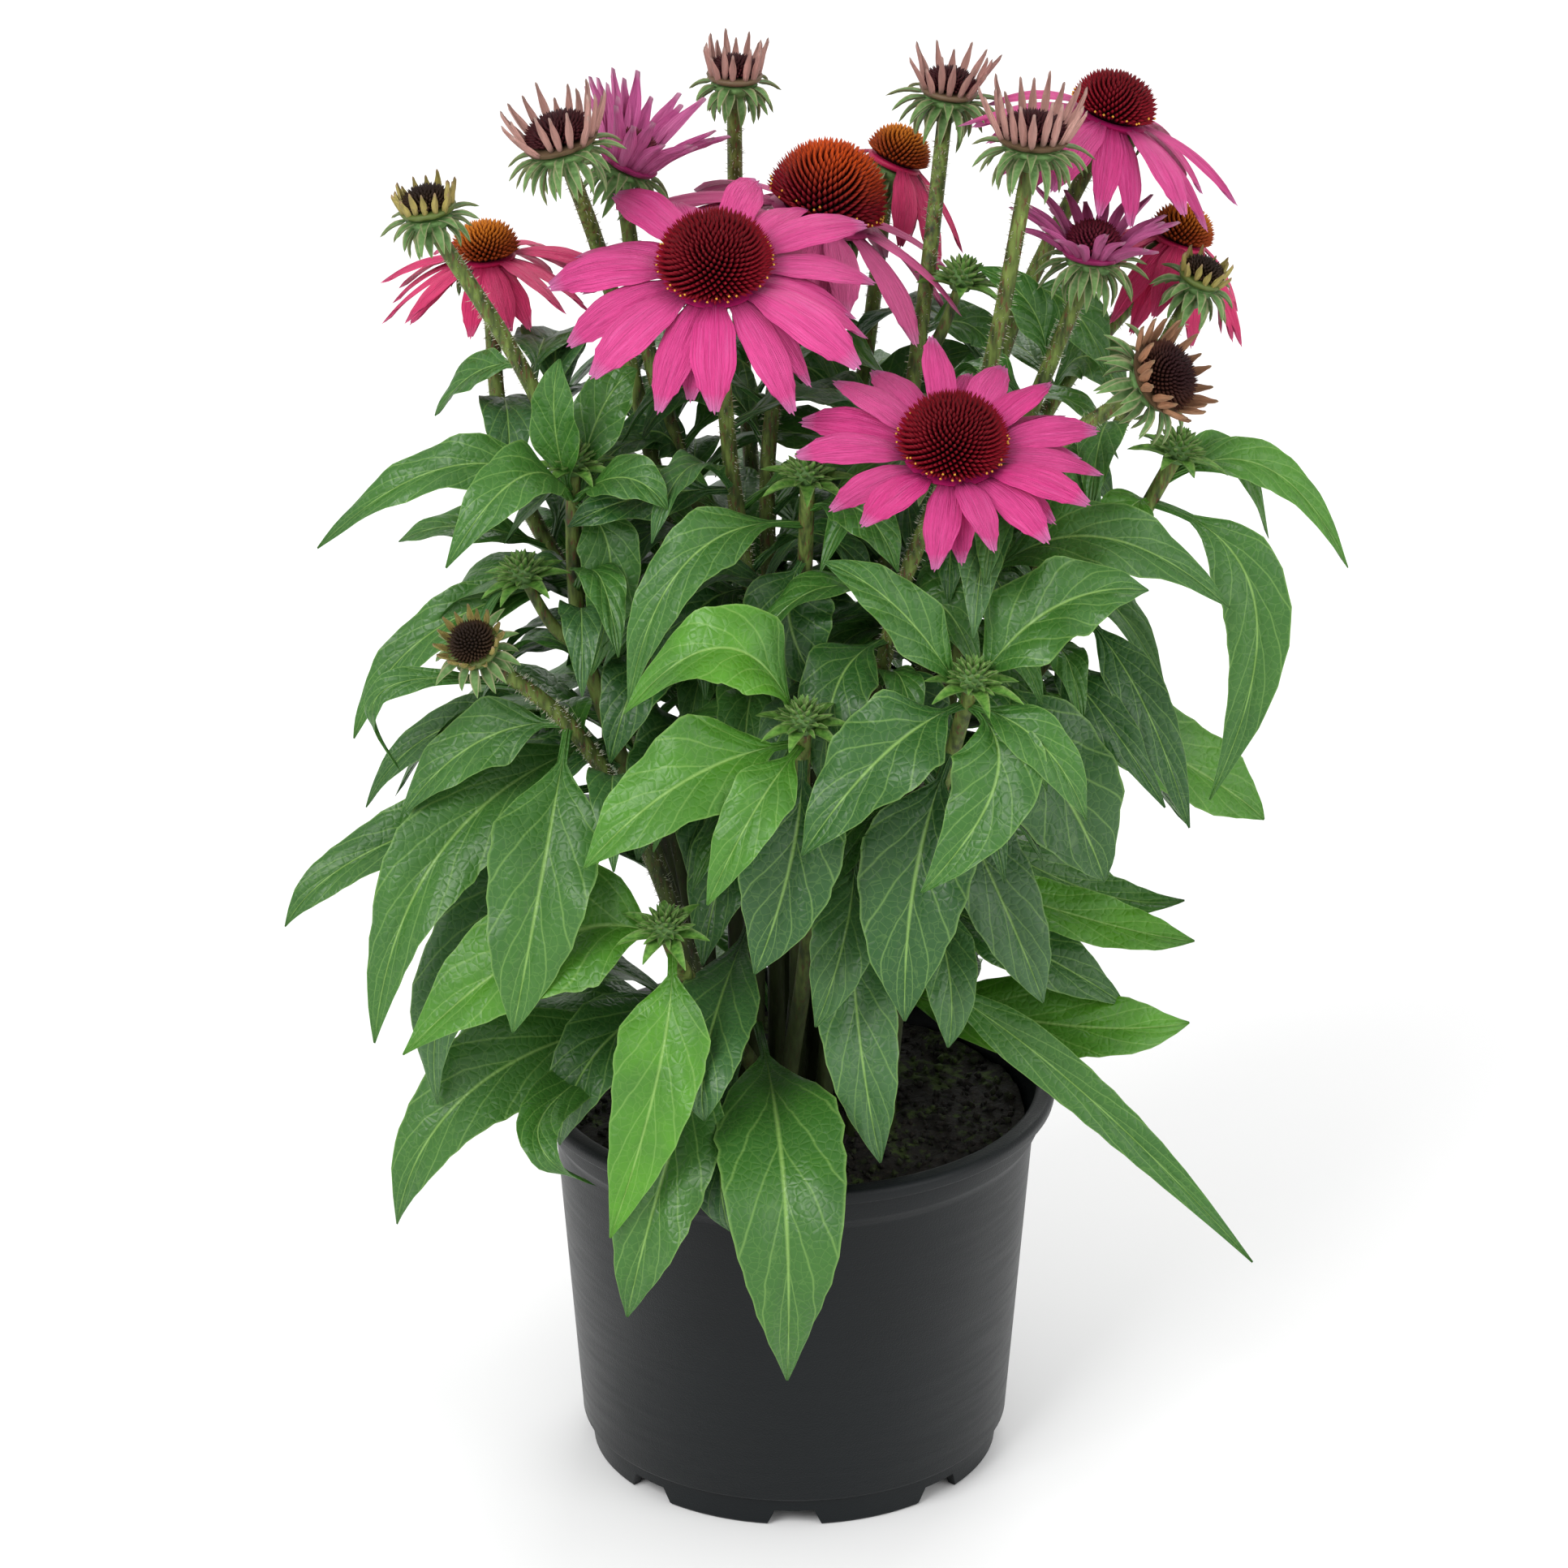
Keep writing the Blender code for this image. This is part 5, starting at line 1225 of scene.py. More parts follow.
def floret(point, out, length, width):
    """One floret of a cone: a four-sided spindle with a sharp tip."""
    side = out.cross(Vector((0.3, 0.2, 1)) if abs(out.z) < 0.9 else Vector((1, 0, 0))).normalized()
    other = out.cross(side)
    points = []
    for share, size in ((0, 0.8), (0.34, 1.0)):
        for step in range(4):
            angle = math.tau * step / 4
            away = side * math.cos(angle) + other * math.sin(angle)
            points.append(point + out * (length * share) + away * (width * size / 2))
    points.append(point + out * length)
    faces = [(3, 2, 1, 0)]
    faces += [(i, (i + 1) % 4, 4 + (i + 1) % 4, 4 + i) for i in range(4)]
    faces += [(4 + i, 4 + (i + 1) % 4, 8) for i in range(4)]
    return points, faces


def dome_level(rise):
    """The share of a cone's height at a latitude of its dome."""
    return 0.12 + 0.88 * max(0.0, math.sin(rise))


def fine_cone(skin, head, place):
    """A dark dome set with florets in spirals, longest round its foot."""
    chance = random.Random("cone " + head.name)
    radius, height = head.cone
    lifted = place @ Matrix.Translation((0, 0, 0.5 + HUB_THICKNESS))
    count = round(FLORETS * min(1, (radius / 19) ** 1.4))
    core, spike = radius * 0.76, radius * 0.31
    profile = [(0, 0), (core * 0.9, 0)]
    for step in range(8):
        rise = math.radians(-8 + 98 * step / 8)
        profile.append((core * math.cos(rise), height * 0.86 * dome_level(rise)))
    profile.append((0, height * 0.86))
    points, faces = lathe(profile, 20)
    marks = [(0.0, max(0, point.z / height), 0.5) for point in points]
    skin.add([lifted @ point for point in points], faces, 0, marks)
    for index in range(count):
        level = 1 - (index + 0.5) / count * 1.1
        rise = math.asin(max(-0.1, level))
        turn = index * GOLDEN_ANGLE
        flat = Vector((math.cos(turn), math.sin(turn), 0))
        foot = flat * (core * 0.96 * math.cos(rise)) + UP * (height * 0.83 * dome_level(rise))
        out = (flat * math.cos(rise) + UP * (math.sin(rise) + 0.42)).normalized()
        length = spike * (1.12 - 0.45 * max(0, level) ** 4) * chance.uniform(0.92, 1.06) + 0.6
        points, faces = floret(foot, out, length, 2.55 * radius / math.sqrt(count))
        high = max(0.0, level)
        marks = [(0.05, high, 0.5)] * 4 + [(0.3, high, 0.5)] * 4 + [(1.0, high, chance.random())]
        skin.add([lifted @ point for point in points], faces, 0, marks)
        if radius > 13 and level < 0.12 and chance.random() < 0.3:
            dot, dot_faces = floret(foot + out * length * 0.8, out, 0.9, 1.0)
            skin.add([lifted @ point for point in dot], dot_faces, 1, (0.5, 0.5, chance.random()))


def fine_cup(skin, head, place):
    """The cup under a head, with whorls of narrow bracts that spread and droop from it."""
    chance = random.Random("cup " + head.name)
    radius = hub_radius(head) * 0.9
    lowered = place @ Matrix.Translation((0, 0, -0.8))
    profile = [(0, -CUP_DEPTH), (STEM_RADIUS * 1.15, -CUP_DEPTH), (radius * 0.55, -CUP_DEPTH * 0.62)]
    profile += [(radius * 0.88, -CUP_DEPTH * 0.25), (radius * 0.95, -0.8), (radius * 0.8, 0), (0, 0)]
    points, faces = lathe(profile, 20)
    skin.add([lowered @ point for point in points], faces, BRACT, (0.3, 0.5, 0.0))
    whorls, count, length, pitch = head.bracts
    for whorl in range(whorls + 1):
        share = (whorl + 1) / (whorls + 1)
        around = count + 3
        for index in range(around):
            bearing = math.tau * (index + 0.5 * whorl + chance.uniform(-0.2, 0.2)) / around
            out = radius * (0.45 + 0.48 * share)
            start = Vector((math.cos(bearing), math.sin(bearing), 0)) * out
            start.z = -CUP_DEPTH * 0.62 * (1 - share) - 0.8
            slope = pitch - 26 * (whorls - whorl) + chance.uniform(-10, 10)
            bend_to = (slope + 26, slope - 34 + chance.uniform(-14, 10))
            size = length * chance.uniform(0.78, 1.06)
            points, faces, spots = fine_strip(start, bearing, size, 3.6, bend_to, BRACT_ROWS, BRACT_SHAPE)
            skin.add([lowered @ point for point in points], faces, BRACT, (0.6, chance.random(), 0.0), spots)


def fine_tip(skin, point, below, name):
    """A shut green bud: a ball of pointed bracts over a rosette of small leaves."""
    chance = random.Random("tip " + name)
    axis = ((point - below).normalized() + UP).normalized()
    place = Matrix.Translation(point) @ axis.to_track_quat("Z", "Y").to_matrix().to_4x4()
    points, faces = lathe([(0, -3), (3.5, -2.5), (5, 1), (4.5, 4.5), (2.5, 6.5), (0, 7)], 14)
    skin.add([place @ p for p in points], faces, BRACT, (0.2, 0.5, 0.0))
    for index in range(46):
        level = 1 - (index + 0.5) / 46
        bearing = index * GOLDEN_ANGLE
        out = 4.6 * math.sqrt(1 - level * level * 0.98)
        start = Vector((math.cos(bearing), math.sin(bearing), 0)) * out
        start.z = 6.2 * level
        slope = 12 + 74 * level
        long = 6.5 - 2.4 * level
        slopes = (slope + 8, slope - 22)
        points, faces, spots = fine_strip(start, bearing, long, 2.3, slopes, BRACT_ROWS, BRACT_SHAPE)
        skin.add([place @ p for p in points], faces, BRACT, (0.35, chance.random(), 0.8), spots)
    for index in range(7):
        bearing = math.tau * (index + chance.uniform(-0.2, 0.2)) / 7
        start = Vector((math.cos(bearing), math.sin(bearing), 0)) * 3
        start.z = -1.5
        long = chance.uniform(13, 17)
        points, faces, spots = fine_strip(start, bearing, long, 5.5, (26, -26), BRACT_ROWS, BRACT_SHAPE)
        skin.add([place @ p for p in points], faces, BRACT, (0.2, chance.random(), 1.0), spots)


def fine_stem(skin, path, name, has_head):
    """A round stem along the smooth course of the solid one, with short bristles."""
    chance = random.Random("stem " + name)
    last = len(path) - 1
    radii = [STEM_RADIUS * (1.1 - 0.2 * index / last) for index in range(last + 1)]
    points, faces = tube(path, radii, 12)
    # the first mark is each ring's share of the way up the stem, which the stem material uses to paint shade
    # on the lower stem
    marks = [(index // 12 / last, 0.5, 0.0) for index in range(len(points))]
    skin.add(points, faces, STEM, marks)
    if not has_head:
        return
    for index in range(HAIRS):
        place = chance.uniform(0.35, 0.97) * last
        low = int(place)
        centre = path[low].lerp(path[low + 1], place - low)
        along = (path[low + 1] - path[low]).normalized()
        any_way = Vector((chance.uniform(-1, 1), chance.uniform(-1, 1), chance.uniform(-1, 1)))
        side = along.cross(any_way).normalized()
        out = (side + along * chance.uniform(-0.3, 0.5)).normalized()
        foot = centre + side * (STEM_RADIUS * 0.88)
        wide = along * HAIR_WIDTH
        other = side.cross(along) * HAIR_WIDTH
        hair = [foot + wide, foot - wide + other, foot - wide - other, foot + out * chance.uniform(1.0, 2.4)]
        skin.add(hair, [(0, 1, 3), (1, 2, 3), (2, 0, 3), (2, 1, 0)], STEM, (0.5, 0.5, 1.0))


def build_greens(places, paths, leaves, materials):
    """Each stem with its leaves, cup, bracts and shut buds."""
    for stem in STEMS:
        skin = Skin()
        path = paths[stem.name]
        has_head = stem.name in places
        fine = fine_path(stem, path, places)
        fine_stem(skin, fine, stem.name, has_head)
        for head in HEADS:
            if head.name == stem.name:
                fine_cup(skin, head, places[head.name])
        for number, tip in enumerate(stem.tips):
            point = seen(*tip)
            below = path[-2]
            if has_head or number:
                fork = nearest_on(path, tip[0], tip[1] + 110)
                below = (point + fork) / 2 - UP * 6
                course = smooth_path([fork, below, point], 10)
                side_stem = tube(course, [STEM_RADIUS * (0.85 - 0.25 * i / 10) for i in range(11)], 10)
                # the first mark 0.7 gives a side stem only a little of the stems' painted shade
                skin.add(*side_stem, STEM, (0.7, 0.5, 0.0))
            fine_tip(skin, point, below, stem.name + str(number))
        chance = random.Random("leaves " + stem.name)
        for name, curve, tone in leaves:
            if name == stem.name:
                root = min(fine, key=lambda point: (point - curve[0]).length)
                fine_leaf(skin, (root, *curve[1:]), tone, chance)
        skin.piece("leafy_stem_" + stem.name, "stem_" + stem.name, "green", materials)


def fine_path(stem, path, places):
    """The smooth course that the solid stem's straight pieces follow."""
    return smooth_path(path, STEM_STEPS * FINE_STEPS)


def build_heads(places, looks):
    """The rays and the cone of every head."""
    for head in HEADS:
        rays, cone = Skin(), Skin()
        fine_rays(rays, head, places[head.name])
        fine_cone(cone, head, places[head.name])
        kind = HEAD_KINDS[head.name]
        rays.piece("ray_petals_" + head.name, "rays_" + head.name, "rays", [looks["rays_" + kind]])
        cone_looks = [looks["cone_" + kind], looks["pollen"]]
        cone.piece("florets_" + head.name, "cone_" + head.name, "cone", cone_looks)


def node_maker(name):
    """A new material with short ways to add and join its nodes."""
    material = bpy.data.materials.new(name)
    material.use_nodes = True
    tree = material.node_tree
    shader = tree.nodes["Principled BSDF"]

    def add(kind, inputs=None, **settings):
        node = tree.nodes.new(kind)
        for key, value in settings.items():
            setattr(node, key, value)
        for key, value in (inputs or {}).items():
            if isinstance(value, bpy.types.NodeSocket):
                tree.links.new(value, node.inputs[key])
            else:
                node.inputs[key].default_value = value
        return node

    return material, tree, shader, add


def sums(add, operation, first, second):
    """The output of a Math node on two numbers or sockets."""
    return add("ShaderNodeMath", {0: first, 1: second}, operation=operation).outputs[0]


def mixed(add, share, first, second):
    """A colour between two others, each a colour or a socket."""
    node = add("ShaderNodeMix", data_type="RGBA")
    tree = node.id_data
    for key, value in ((0, share), (6, first), (7, second)):
        if isinstance(value, bpy.types.NodeSocket):
            tree.links.new(value, node.inputs[key])
        elif key == 0:
            node.inputs[key].default_value = value
        else:
            node.inputs[key].default_value = (*value, 1)
    return node.outputs[2]


def ramp(add, value, stops):
    """A smooth change of colour over a number, from (place, colour) stops."""
    node = add("ShaderNodeValToRGB", {0: value})
    node.color_ramp.elements[0].position, node.color_ramp.elements[1].position = stops[0][0], stops[-1][0]
    node.color_ramp.elements[0].color = (*stops[0][1], 1)
    node.color_ramp.elements[1].color = (*stops[-1][1], 1)
    for place, colour in stops[1:-1]:
        node.color_ramp.elements.new(place).color = (*colour, 1)
    return node.outputs[0]


def grey(level):
    return (level, level, level)


def noise(add, vector, scale, detail=3.0):
    """A noise pattern's level, over a vector."""
    return add("ShaderNodeTexNoise", {"Vector": vector, "Scale": scale, "Detail": detail}).outputs["Fac"]


def finish_with(add, tree, shader, colour, height, distance, roughness, strength=1.0):
    """Joins a colour, a bump height and a roughness to the shader."""
    bump = add("ShaderNodeBump", {"Height": height, "Distance": distance, "Strength": strength})
    tree.links.new(bump.outputs[0], shader.inputs["Normal"])
    tree.links.new(colour, shader.inputs["Base Color"])
    tree.links.new(roughness, shader.inputs["Roughness"])


def markings(add):
    """The three marks of a point, and its place across and along its leaf or petal."""
    marks = add("ShaderNodeAttribute", attribute_name="marks")
    parts = add("ShaderNodeSeparateColor", {0: marks.outputs["Color"]})
    spots = add("ShaderNodeUVMap", uv_map="spots").outputs[0]
    place = add("ShaderNodeSeparateXYZ", {0: spots})
    off_centre = sums(add, "SUBTRACT", place.outputs[0], 0.5)
    out = sums(add, "MULTIPLY", sums(add, "ABSOLUTE", off_centre, 0.0), 2.0)
    return parts.outputs[0], parts.outputs[1], parts.outputs[2], spots, out, place.outputs[1]


def leaf_material():
    """Green leaf: pale midrib and arching side veins, a fine net between them, a pale margin."""
    material, tree, shader, add = node_maker("leaf_green")
    tone, draw, _, spots, out, along = markings(add)
    solid = add("ShaderNodeTexCoord").outputs["Object"]
    base = ramp(add, tone, ((0.0, DARK_LEAF), (0.4, MID_LEAF), (0.7, GREY_LEAF), (1.0, BRIGHT_LEAF)))
    patches = noise(add, solid, 38.0, 4.0)
    base = mixed(add, ramp(add, patches, ((0.3, grey(0.0)), (0.75, grey(0.75)))), base, LEAF_SHADE)
    base = mixed(add, sums(add, "MULTIPLY", draw, 0.35), base, MID_LEAF)
    bow = sums(add, "MULTIPLY", sums(add, "POWER", out, 0.75), 0.33)
    wobble = sums(add, "MULTIPLY", noise(add, solid, 45.0), 0.07)
    phase = sums(add, "MULTIPLY", sums(add, "ADD", sums(add, "SUBTRACT", along, bow), wobble), 6.0)
    away = sums(add, "ABSOLUTE", sums(add, "SUBTRACT", sums(add, "FRACT", phase, 0.0), 0.5), 0.0)
    veins = ramp(add, away, ((0.0, grey(1.0)), (0.022, grey(0.7)), (0.06, grey(0.0))))
    midrib = ramp(add, out, ((0.0, grey(0.8)), (0.018, grey(0.6)), (0.05, grey(0.0))))
    cells = add("ShaderNodeTexVoronoi", {"Vector": solid, "Scale": 330.0}, feature="DISTANCE_TO_EDGE")
    net = cells.outputs[0]
    net_lines = ramp(add, net, ((0.0, grey(0.3)), (0.06, grey(0.0))))
    lines = sums(add, "MAXIMUM", sums(add, "MULTIPLY", veins, 0.4), midrib)
    lines = sums(add, "MAXIMUM", lines, sums(add, "MULTIPLY", net_lines, 0.5))
    margin = ramp(add, out, ((0.94, grey(0.0)), (1.0, grey(0.5))))
    lines = sums(add, "MAXIMUM", lines, margin)
    colour = mixed(add, lines, base, VEIN_GREEN)
    dome = sums(add, "SUBTRACT", sums(add, "MULTIPLY", away, 1.6), sums(add, "MULTIPLY", midrib, 0.8))
    height = sums(add, "ADD", dome, sums(add, "MULTIPLY", sums(add, "MINIMUM", net, 0.25), 1.4))
    height = sums(add, "ADD", height, sums(add, "MULTIPLY", noise(add, solid, 900.0), 0.1))
    rough = ramp(add, patches, ((0.2, grey(0.3)), (0.8, grey(0.46))))
    finish_with(add, tree, shader, colour, height, 0.00055, rough, 0.7)
    shader.inputs["Specular IOR Level"].default_value = 0.38
    return material


def stem_material():
    """Olive stem with lengthwise ridges, reddish flecks and pale bristles, and painted shade that darkens it
    towards the soil.
    """
    material, tree, shader, add = node_maker("stem_olive")
    high, _, hair, _, _, _ = markings(add)
    solid = add("ShaderNodeTexCoord").outputs["Object"]
    stretched = add("ShaderNodeMapping", {"Vector": solid, "Scale": (1.0, 1.0, 0.25)}).outputs[0]
    streaks = noise(add, stretched, 420.0, 5.0)
    base = ramp(add, streaks, ((0.3, STEM_DARK), (0.55, STEM_GREEN), (0.8, STEM_PALE)))
    flecks = ramp(add, noise(add, stretched, 900.0, 2.0), ((0.56, grey(0.0)), (0.66, grey(0.8))))
    base = mixed(add, flecks, base, STEM_RED)
    # painted shade: the lower stem, up to about a third of its length, is darkened towards STEM_DARK, fading
    # out by four fifths of the way up
    base = mixed(add, ramp(add, high, ((0.3, grey(0.9)), (0.8, grey(0.0)))), base, STEM_DARK)
    colour = mixed(add, hair, base, HAIR_PALE)
    rough = ramp(add, streaks, ((0.2, grey(0.45)), (0.8, grey(0.7))))
    finish_with(add, tree, shader, colour, streaks, 0.0006, rough)
    shader.inputs["Specular IOR Level"].default_value = 0.25
    return material


def bract_material():
    """Green bract, darker at its root, with a pale pinkish margin."""
    material, tree, shader, add = node_maker("bract_green")
    tone, draw, fresh, _, out, along = markings(add)
    solid = add("ShaderNodeTexCoord").outputs["Object"]
    grain = noise(add, solid, 500.0, 4.0)
    base = ramp(add, grain, ((0.3, BRACT_DARK), (0.75, BRACT_GREEN)))
    base = mixed(add, sums(add, "MULTIPLY", along, 0.45), base, BRACT_TIP)
    base = mixed(add, fresh, base, ramp(add, grain, ((0.3, MID_LEAF), (0.75, BRACT_FRESH))))
    rim = ramp(add, out, ((0.55, grey(0.0)), (1.0, grey(0.9))))
    colour = mixed(add, sums(add, "MULTIPLY", rim, tone), base, BRACT_RIM)
    rough = ramp(add, grain, ((0.2, grey(0.5)), (0.8, grey(0.7))))
    finish_with(add, tree, shader, colour, grain, 0.0005, rough)
    shader.inputs["Specular IOR Level"].default_value = 0.25
    return material


def ray_material(name, root, body, tip):
    """A silky petal: fine lengthwise streaks, deeper at the root and paler at the tip."""
    material, tree, shader, add = node_maker(name)
    draw, other, _, spots, out, along = markings(add)
    solid = add("ShaderNodeTexCoord").outputs["Object"]
    stretched = add("ShaderNodeMapping", {"Vector": spots, "Scale": (16.0, 0.9, 1.0)}).outputs[0]
    shifted = add("ShaderNodeVectorMath", {0: stretched, 1: draw}, operation="ADD").outputs[0]
    streaks = noise(add, shifted, 2.4, 4.0)
    base = ramp(add, along, ((0.0, root), (0.22, body), (0.86, body), (1.0, tip)))
    pale = ramp(add, streaks, ((0.5, grey(0.0)), (0.85, grey(0.4))))
    base = mixed(add, pale, base, tip)
    deep = ramp(add, streaks, ((0.25, grey(0.65)), (0.48, grey(0.0))))
    base = mixed(add, deep, base, root)
    colour = mixed(add, sums(add, "MULTIPLY", other, 0.15), base, tip)
    fine = noise(add, solid, 1500.0, 2.0)
    height = sums(add, "ADD", sums(add, "MULTIPLY", streaks, 1.4), sums(add, "MULTIPLY", fine, 0.2))
    rough = ramp(add, streaks, ((0.2, grey(0.42)), (0.8, grey(0.6))))
    finish_with(add, tree, shader, colour, height, 0.0008, rough)
    shader.inputs["Specular IOR Level"].default_value = 0.3
    return material


def cone_material(name, low, mid, tip, crown):
    """Florets dark between and bright at their points, with another colour at the crown."""
    material, tree, shader, add = node_maker(name)
    along, high, draw, _, _, _ = markings(add)
    solid = add("ShaderNodeTexCoord").outputs["Object"]
    grain = noise(add, solid, 700.0, 3.0)
    points = mixed(add, ramp(add, high, ((0.25, grey(0.0)), (0.85, grey(1.0)))), tip, crown)
    shaft = ramp(add, along, ((0.0, low), (0.25, mid), (0.4, mid)))
    colour = mixed(add, ramp(add, along, ((0.3, grey(0.0)), (0.9, grey(1.0)))), shaft, points)
    colour = mixed(add, sums(add, "MULTIPLY", grain, 0.3), colour, low)
    rough = ramp(add, grain, ((0.2, grey(0.4)), (0.8, grey(0.6))))
    finish_with(add, tree, shader, colour, grain, 0.0004, rough)
    shader.inputs["Specular IOR Level"].default_value = 0.12
    return material


def pollen_material():
    """Golden pollen grains."""
    material, tree, shader, add = node_maker("pollen_gold")
    solid = add("ShaderNodeTexCoord").outputs["Object"]
    grain = noise(add, solid, 2500.0, 2.0)
    colour = ramp(add, grain, ((0.3, (0.55, 0.2, 0.01)), (0.7, (0.95, 0.55, 0.06))))
    rough = ramp(add, grain, ((0.2, grey(0.6)), (0.8, grey(0.85))))
    finish_with(add, tree, shader, colour, grain, 0.0003, rough)
    return material


def pot_material():
    """Charcoal moulded plastic with a fine stipple, faint rubs and flow marks."""
    material, tree, shader, add = node_maker("pot_charcoal")
    solid = add("ShaderNodeTexCoord").outputs["Object"]
    stipple = noise(add, solid, 1800.0, 2.0)
    broad = noise(add, solid, 9.0, 3.0)
    flat = add("ShaderNodeMapping", {"Vector": solid, "Scale": (0.25, 0.25, 3.0)}).outputs[0]
    rubs = noise(add, flat, 160.0, 6.0)
    base = ramp(add, broad, ((0.3, POT_DARK), (0.7, POT_GREY)))
    scuffs = ramp(add, rubs, ((0.62, grey(0.0)), (0.85, grey(0.2))))
    colour = mixed(add, scuffs, base, POT_SCUFF)
    worn = sums(add, "MULTIPLY", sums(add, "ADD", rubs, broad), 0.5)
    rough = ramp(add, worn, ((0.3, grey(0.34)), (0.7, grey(0.5))))
    height = sums(add, "ADD", stipple, sums(add, "MULTIPLY", rubs, 0.12))
    finish_with(add, tree, shader, colour, height, 0.00012, rough)
    shader.inputs["Specular IOR Level"].default_value = 0.22
    return material


def soil_material():
    """Near black peat with brown bark, and moss where its patches grow."""
    material, tree, shader, add = node_maker("soil_peat")
    kind, draw, _, _, _, _ = markings(add)
    solid = add("ShaderNodeTexCoord").outputs["Object"]
    crumbs = noise(add, solid, 420.0, 8.0)
    base = ramp(add, crumbs, ((0.3, SOIL_BLACK), (0.6, SOIL_BROWN), (0.78, SOIL_PALE)))
    patches = sums(add, "MULTIPLY", noise(add, solid, 45.0, 4.0), noise(add, solid, 260.0, 3.0))
    moss = ramp(add, patches, ((0.26, grey(0.0)), (0.36, grey(0.85))))
    base = mixed(add, moss, base, MOSS_GREEN)
    colour = mixed(add, kind, base, mixed(add, draw, SOIL_BROWN, MOSS_GREEN))
    rough = ramp(add, crumbs, ((0.2, grey(0.8)), (0.8, grey(1.0))))
    finish_with(add, tree, shader, colour, crumbs, 0.002, rough)
    return material


def build_pot(material):
    """The smooth pot, turned from the solid's section with a rounded lip, and its foot cut."""
    mesh = bpy.data.meshes.new("nursery_pot")
    outline = fine_pot_outline()
    section = [(radius * MM, 0, height * MM) for radius, height in reversed(outline)]
    mesh.from_pydata(section, [(index, index + 1) for index in range(len(section) - 1)], [])
    mesh.materials.append(material)
    pot = bpy.data.objects.new("nursery_pot", mesh)
    bpy.context.scene.collection.objects.link(pot)
    screw = pot.modifiers.new("turn", "SCREW")
    screw.steps = screw.render_steps = 128
    screw.use_merge_vertices = True
    screw.merge_threshold = 0.000003
    cutters = bpy.data.collections.new("cutters")
    for index in range(FOOT_GAPS):
        cutters.objects.link(gap_wedge(math.radians(-90) + math.tau * index / FOOT_GAPS))
    for index in range(DRAIN_HOLES):
        cutters.objects.link(drain_cylinder(math.tau * (index + 0.5) / DRAIN_HOLES))
    cut = pot.modifiers.new("cut", "BOOLEAN")
    cut.operation = "DIFFERENCE"
    cut.operand_type = "COLLECTION"
    cut.collection = cutters
    cut.solver = "MANIFOLD"
    bpy.context.view_layer.update()
    graph = bpy.context.evaluated_depsgraph_get()
    made = bpy.data.meshes.new_from_object(pot.evaluated_get(graph))
    pot.modifiers.clear()
    pot.data = made
    for cutter in list(cutters.objects):
        bpy.data.objects.remove(cutter)
    bpy.data.collections.remove(cutters)
    made.shade_smooth()
    made.set_sharp_from_angle(angle=math.radians(34))
    soft = pot.modifiers.new("soft edges", "BEVEL")
    soft.width = 0.0004
    soft.segments = 2
    soft.limit_method = "ANGLE"
    soft.angle_limit = math.radians(40)
    soft.harden_normals = True
    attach(pot, "root")
    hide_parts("pot")


def arc(centre, radius, start, end, steps):
    """Points along an arc of the pot's section, in degrees from straight out."""
    points = []
    for step in range(steps + 1):
        angle = math.radians(start + (end - start) * step / steps)
        points.append((centre[0] + radius * math.cos(angle), centre[1] + radius * math.sin(angle)))
    return points


def fine_pot_outline():
    """The solid pot's section with its lip and its corners rounded."""
    under_lip = POT_HEIGHT - POT_LIP_HEIGHT
    floor_top = POT_FLOOR + POT_WALL
    section = [(0, floor_top), (POT_BODY_FOOT_RADIUS - POT_WALL - 2, floor_top)]
    section += [(POT_BODY_FOOT_RADIUS - POT_WALL, floor_top + 2)]
    section += [(POT_BODY_TOP_RADIUS - POT_WALL, POT_COLLAR_FOOT + 1)]
    section += [(POT_COLLAR_RADIUS - POT_WALL, POT_COLLAR_FOOT + 5)]
    section += [(POT_COLLAR_RADIUS - POT_WALL + 0.4, POT_HEIGHT - 3)]
    section += arc((POT_COLLAR_RADIUS + 0.4, POT_HEIGHT - 2.2), 2.2, 170, 90, 6)
    section += arc((POT_LIP_RADIUS - 2.4, POT_HEIGHT - 2.6), 2.4, 84, 0, 6)
    section += arc((POT_LIP_RADIUS - 1.2, under_lip + 0.8), 0.8, 0, -80, 3)
    section += [(POT_COLLAR_RADIUS + 0.4, under_lip + 0.3)]
    section += [(POT_COLLAR_RADIUS, POT_COLLAR_FOOT + 4), (POT_COLLAR_RADIUS - 0.5, POT_COLLAR_FOOT + 3)]
    section += [(POT_BODY_TOP_RADIUS + 0.2, POT_COLLAR_FOOT + 0.3)]
    section += [(POT_BODY_TOP_RADIUS - 0.1, POT_COLLAR_FOOT - 0.8)]
    section += [(POT_BODY_FOOT_RADIUS + 0.1, POT_SEAM_HEIGHT + 0.8)]
    section += [(POT_BODY_FOOT_RADIUS - 0.5, POT_SEAM_HEIGHT), (POT_FOOT_RADIUS, POT_SEAM_HEIGHT - 1.2)]
    section += [(POT_FOOT_RADIUS - 1.2, 0.8), (POT_FOOT_RADIUS - 2, 0)]
    section += [(POT_FOOT_RADIUS - 5, 0), (POT_FOOT_RADIUS - 6, POT_FLOOR), (POT_BOSS_RADIUS + 1, POT_FLOOR)]
    section += [(POT_BOSS_RADIUS, 0), (0, 0)]
    return section


def gap_wedge(bearing):
    """The wedge that cuts one gap through the ring of the foot, narrower at its top."""
    shape = bmesh.new()
    inner = POT_BOSS_RADIUS + 8
    size = Vector((POT_LIP_RADIUS - inner, FOOT_GAP_WIDTH, FOOT_GAP_HEIGHT * 2)) * MM
    bmesh.ops.create_cube(shape, size=1, matrix=Matrix.Diagonal(size).to_4x4())
    for corner in shape.verts:
        corner.co.x += (POT_LIP_RADIUS + inner) / 2 * MM
        corner.co.y *= FOOT_GAP_TAPER if corner.co.z > 0 else 2 - FOOT_GAP_TAPER
    bmesh.ops.rotate(shape, verts=shape.verts, matrix=Matrix.Rotation(bearing, 3, "Z"))
    return cutter_object("gap", shape)


